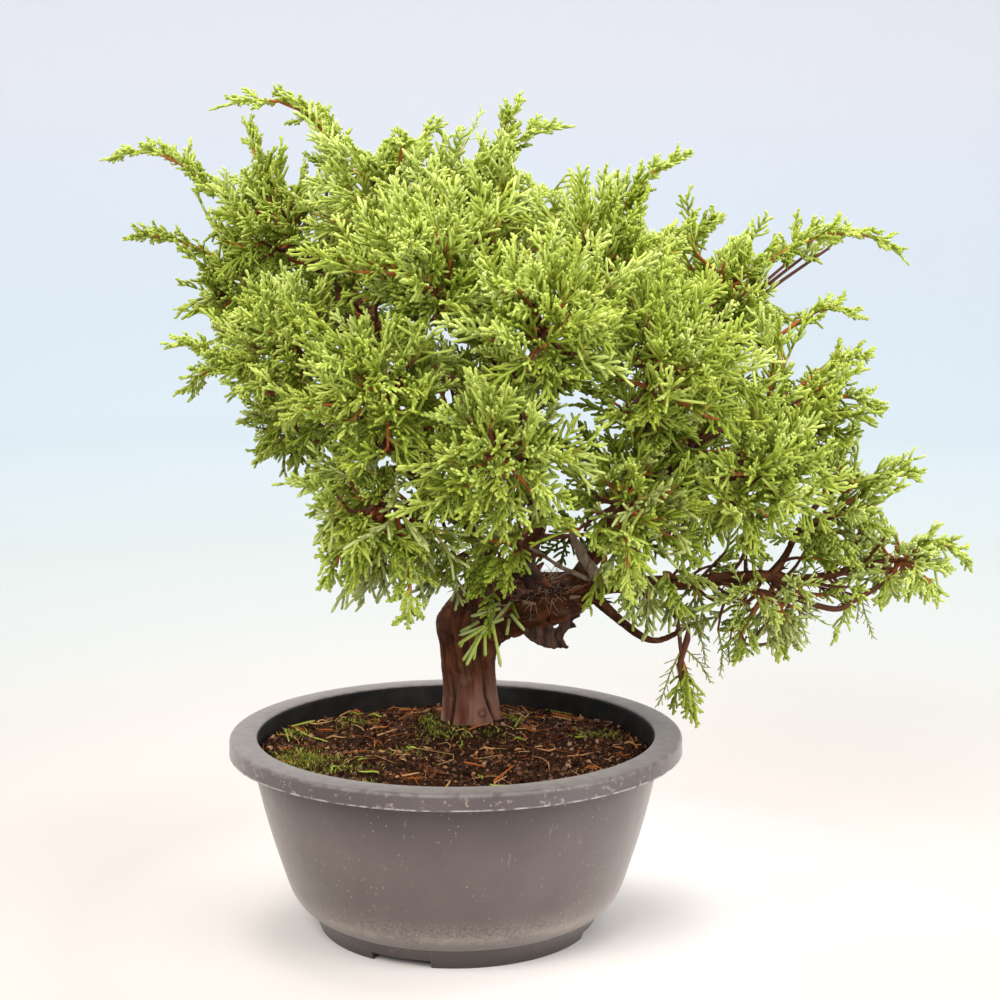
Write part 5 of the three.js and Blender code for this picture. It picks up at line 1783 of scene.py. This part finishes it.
# moss and weed patches: place, size and how thick they stand
mossPatches = [((-62, -16), (10, 13), 0.9), ((-43, 40), (10, 8), 0.35), ((-66, 18), (6, 9), 0.35),
               ((-8, 12), (6, 8), 0.4),
               ((-40, -32), (14, 7), 0.16), ((-20, -10), (16, 10), 0.08), ((-60, -34), (14, 8), 0.4),
               ((-3, 8), (13, 8), 0.2), ((-52, -18), (12, 8), 0.3), ((16, 6), (10, 6), 0.12),
               ((-12, 24), (5, 8), 0.4), ((60, 18), (12, 6), 0.35), ((24, 30), (5, 9), 0.3),
               ((-35, -50), (9, 5), 0.2)]
soilColours = {"crumb0": (0.014, 0.005, 0.002), "crumb1": (0.038, 0.014, 0.006),
               "crumb2": (0.105, 0.039, 0.015),
               "crumb3": (0.17, 0.070, 0.029), "crumb4": (0.30, 0.150, 0.072), "crumb5": (0.33, 0.21, 0.13),
               "bitRust": (0.36, 0.10, 0.022), "bitTan": (0.45, 0.24, 0.10), "bitDark": (0.10, 0.038, 0.016),
               "moss0": (0.035, 0.040, 0.007), "moss1": (0.115, 0.122, 0.018), "moss2": (0.31, 0.30, 0.06)}


# stalks that the photo shows singly: places along them, how thick, and the finish
stalks = [
    ([(-77, 56), (-68, 29)], 0.55, 4), ([(-69, 32), (-61, 18), (-52, 7)], 0.5, 4),
    ([(-72, 24), (-67, 2)], 0.4, 4),
    ([(-32, 12), (-24, 19)], 0.4, 1), ([(-23, -47), (-14, -43)], 0.5, 1),
    ([(-54, 70), (-51, 56), (-47, 45)], 0.35, 1),
    ([(-57, 32), (-51, 27)], 0.35, 0), ([(-24, 60), (-16, 62)], 0.4, 0), ([(41, 52), (52, 45)], 0.5, 0),
    ([(41, 47), (51, 41)], 0.4, 1), ([(3, -30), (11, -37)], 0.45, 0), ([(14, -52), (22, -37)], 0.45, 0),
    ([(14, -55), (19, -46)], 0.35, 1), ([(72, -5), (74, 20)], 0.45, 0), ([(5, 8), (11, 13)], 0.4, 0),
    ([(40, 65), (50, 56)], 0.3, 3), ([(24, 14), (27, 32)], 0.5, 3), ([(52, 17), (62, 41)], 0.3, 2),
]


def soilHeight(x, y):
    r = np.hypot(x, y)
    flat = np.interp(r, [0, soil["flatRadius"], soil["side"]], [soil["flat"], soil["flat"], soil["edge"]])
    d = np.hypot(x - soil["foot"][0], y - soil["foot"][1])
    mound = np.interp(d, [0, soil["moundTop"], soil["moundFoot"]],
                      [soil["mound"], soil["mound"] - 0.5, soil["edge"]])
    return np.maximum(flat, mound)


def bedHeight(x, y):
    lump = noise.noise(Vector((x * 0.08, y * 0.08, 1))) * 1.3
    lump = lump + noise.noise(Vector((x * 0.3, y * 0.3, 3))) * 1.1
    # a heap against the wall on the left
    (heapX, heapY), (wideX, wideY) = soil["heapAt"], soil["heapWide"]
    heap = soil["heap"] * math.exp(-((x - heapX) / wideX) ** 2 - ((y - heapY) / wideY) ** 2)
    return soilHeight(x, y) + lump + heap + noise.noise(Vector((x * 0.8, y * 0.8, 5))) * 0.7 - 0.6


def makeSoil():
    profile = [(0, 8), (56, 8), (wallRadius(22) - pot["wall"] - 0.4, 22), (soil["side"], 66)]
    profile += [(r, 70.5) for r in np.linspace(soil["side"], 0, soil["rings"])]
    ground = spunShape("soil_bed", profile, soil["steps"])
    for vertex in ground.data.vertices:
        x, y, z = vertex.co
        if z > 70:
            vertex.co.z = bedHeight(x, y)
    settle(ground, "earth")
    print("soil bed:", len(ground.data.polygons), "faces")
    finish(ground, "soil", "soil")


def soilSpots(count, room=1.0):
    # places spread over the soil, clear of the trunk's foot and the pot's wall
    spots = []
    while len(spots) < count:
        x, y = rng.uniform(-78, 78, 2)
        clear = math.hypot(x - soil["foot"][0], y - soil["foot"][1]) > soil["footRoom"]
        if clear and math.hypot(x, y) < soil["side"] - room:
            spots.append((x, y, bedHeight(x, y)))
    return np.array(spots)


def lumps(spots, sizes, shape):
    # rough stones from one solid with its corners moved, each turned its own way
    corners, faces = shape
    count = len(spots)
    turn = np.linalg.qr(rng.normal(size=(count, 3, 3)))[0]
    turn *= np.sign(np.linalg.det(turn))[:, None, None]
    shape = corners[None] * rng.uniform(0.7, 1.25, (count, len(corners), 1))
    shape = shape * rng.uniform(0.65, 1.0, (count, 1, 3))
    points = np.einsum("nij,nkj->nki", turn, shape) * sizes[:, None, None] + spots[:, None]
    allFaces = (faces[None] + len(corners) * np.arange(count)[:, None, None]).reshape(-1, 3)
    return points.reshape(-1, 3), allFaces, len(faces)


def ballShape():
    bpy.ops.object.select_all(action="DESELECT")
    bpy.ops.mesh.primitive_ico_sphere_add(subdivisions=1, radius=1)
    piece = bpy.context.object
    corners = readPoints(piece.data)
    faces = np.array([list(face.vertices) for face in piece.data.polygons])
    bpy.data.objects.remove(piece)
    return unit(corners), faces


def curledLines(spots, lengths, rise, bow):
    # bits that lie on the soil: three places a bit, the middle one pushed aside
    a = rng.uniform(0, 2 * math.pi, len(spots))
    way = np.stack([np.cos(a), np.sin(a), rng.normal(size=len(spots)) * 0.06], -1)
    side = np.stack([-np.sin(a), np.cos(a), np.zeros(len(spots))], -1)
    bends = rng.normal(size=(len(spots), 1)) * bow * lengths[:, None]
    lines = []
    for t in (-0.5, -0.2, 0.15, 0.5):
        line = spots + way * lengths[:, None] * t + side * bends * (0.25 - t * t)
        line[:, :2] *= np.minimum(1, (soil["side"] - 1.2) / np.maximum(np.hypot(*line[:, :2].T), 1))[:, None]
        ground = np.array([bedHeight(x, y) for x, y in line[:, :2]])
        line[:, 2] = ground + rise + rng.uniform(0, 0.9, len(spots))
        lines.append(line)
    return np.stack(lines, 1)


def makeLitter():
    ball = ballShape()
    tooth = np.array([[1, 0, 0], [-1, 0, 0], [0, 1, 0], [0, -1, 0], [0, 0, 1], [0, 0, -1.0]]), np.array(
        [[0, 2, 4], [2, 1, 4], [1, 3, 4], [3, 0, 4], [2, 0, 5], [1, 2, 5], [3, 1, 5], [0, 3, 5]])
    tones = [f"crumb{i}" for i in range(6)]
    parts = []
    for count, size, shape, odds in (
            (litter["crumbs"], litter["crumbSize"], ball, (0.24, 0.29, 0.26, 0.14, 0.065, 0.005)),
            (litter["grit"], litter["gritSize"], tooth, (0.15, 0.22, 0.24, 0.2, 0.13, 0.06))):
        sizes = size[0] + (size[1] - size[0]) * rng.random(count) ** 2
        spots = soilSpots(count)
        spots[:, 2] += sizes * rng.uniform(-0.2, 0.5, count)
        points, faces, each = lumps(spots, sizes, shape)
        parts.append((points, faces, np.repeat(rng.choice(6, count, p=odds), each)))
    points, faces, kinds = gathered(parts)
    crumbs = joinedMesh("crumbs", inPlace(points), faces, kinds, tones)
    shadeSmooth(crumbs, 50)
    finish(crumbs, "soil")
    print("crumbs:", len(crumbs.data.polygons), "faces")
    makeBits()
    makeMoss()


def makeBits():
    parts = []
    for count, length, size, rise, bow, choice in (
            (litter["bits"], litter["bitLength"], litter["bitSize"], 0.5, 0.8, (0, 1, 1, 2, 2)),
            (litter["fibres"], (6, 24), (0.09, 0.2), 0.4, 1.8, (0, 1, 2, 2, 2, 2)),
            (litter["fresh"], (3, 11), (0.3, 0.5), 0.7, 0.6, (3, 3, 4))):
        lengths = length[0] + (length[1] - length[0]) * rng.random(count) ** 1.6
        sizes = rng.uniform(*size, count)
        lines = curledLines(soilSpots(count, 4), lengths, rise, bow)
        parts.append(tubeMesh(lines, sizes[:, None] * np.array([0.75, 1, 1, 0.55]), 5,
                              rng.choice(choice, count)))
    for places, size, kind in stalks:
        near = [min(1, litter["stalkReach"] / math.hypot(x, y)) for x, y in places]
        places = [(x * k, y * k) for (x, y), k in zip(places, near)]
        curve = lineThrough([(x, y, bedHeight(x, y) + 1.3) for x, y in places], 6)
        parts.append(tubeMesh([pointOn(curve, np.linspace(0, 1, 7))], [size * np.linspace(1, 0.55, 7)], 5,
                              kind))
    points, faces, kinds = gathered(parts)
    bits = joinedMesh("litter", inPlace(points), faces, kinds,
                      ["bitRust", "bitTan", "bitDark", "leaf3", "leaf5"])
    finish(bits, "soil")
    print("litter:", len(bits.data.polygons), "faces")


def makeMoss():
    # tufts of short blades, thickest in the middle of each patch
    total = sum(a[0] * a[1] * share for place, a, share in mossPatches)
    lines, sizes, kinds = [], [], []
    for place, across, share in mossPatches:
        for i in range(int(litter["moss"] * across[0] * across[1] * share / total)):
            x, y = np.array(place) + rng.normal(size=2) * across * 0.45
            atFoot = math.hypot(x - soil["foot"][0], y - soil["foot"][1]) < soil["footRoom"] - 1
            if math.hypot(x, y) > soil["side"] - 2 or atFoot:
                continue
            lump = max(0, noise.noise(Vector((x * 0.5, y * 0.5, 2))))
            root = np.array([x, y, bedHeight(x, y) - 0.2 + 1.8 * lump])
            aim = unit(np.array([*rng.normal(size=2) * 0.6, 1.0]))
            tall = rng.uniform(*litter["mossHeight"])
            lines.append([root, root + aim * tall * 0.5, root + aim * tall + [*rng.normal(size=2) * 0.4, 0]])
            sizes.append(np.array([0.24, 0.2, 0.07]) * rng.uniform(0.8, 1.4))
            kinds.append(int(np.clip(round(rng.normal() * 0.7 + 0.9 + 2 * lump), 0, 2)))
    points, faces, kinds = tubeMesh(lines, sizes, 3, kinds)
    moss = joinedMesh("moss", inPlace(points), faces, kinds, ["moss0", "moss1", "moss2"])
    finish(moss, "soil")
    print("moss:", len(moss.data.polygons), "faces")


def makeEarth():
    earth, nodes, link = newMaterial("earth")
    place = objectPlace(nodes)
    base = rampOf(nodes, [(0.3, (0.004, 0.002, 0.001)), (0.5, (0.026, 0.010, 0.004)),
                          (0.72, (0.100, 0.038, 0.015))])
    link(noiseOf(nodes, link, place, 480, 7, 0.65), base.inputs["Fac"])
    link(base.outputs["Color"], earth.inputs["Base Color"])
    earth.inputs["Specular IOR Level"].default_value = 0.1
    earth.inputs["Roughness"].default_value = 0.9
    link(bumpOf(nodes, link, noiseOf(nodes, link, place, 800, 6, 0.7), 0.0015, 0.9), earth.inputs["Normal"])
    for name, colour in soilColours.items():
        if name in ("crumb2", "crumb4"):  # damp and a little shiny
            plainFinish(name, colour, 0.38, 0.3)
        else:
            plainFinish(name, colour, 0.85, 0.05)


# Everything together

makeCamera()
makeEffects()
makeStudio()
makePotPlastic()
makePotInsideShade()
makeEarth()
makeBarkSkin()
makeLeafFinishes()
makeDeadFinishes()
makePot()
makeSoil()
makeLitter()
makeBark()
makeLooseBark()
makeStub()
makeDeadTwigs()
makeCrown()
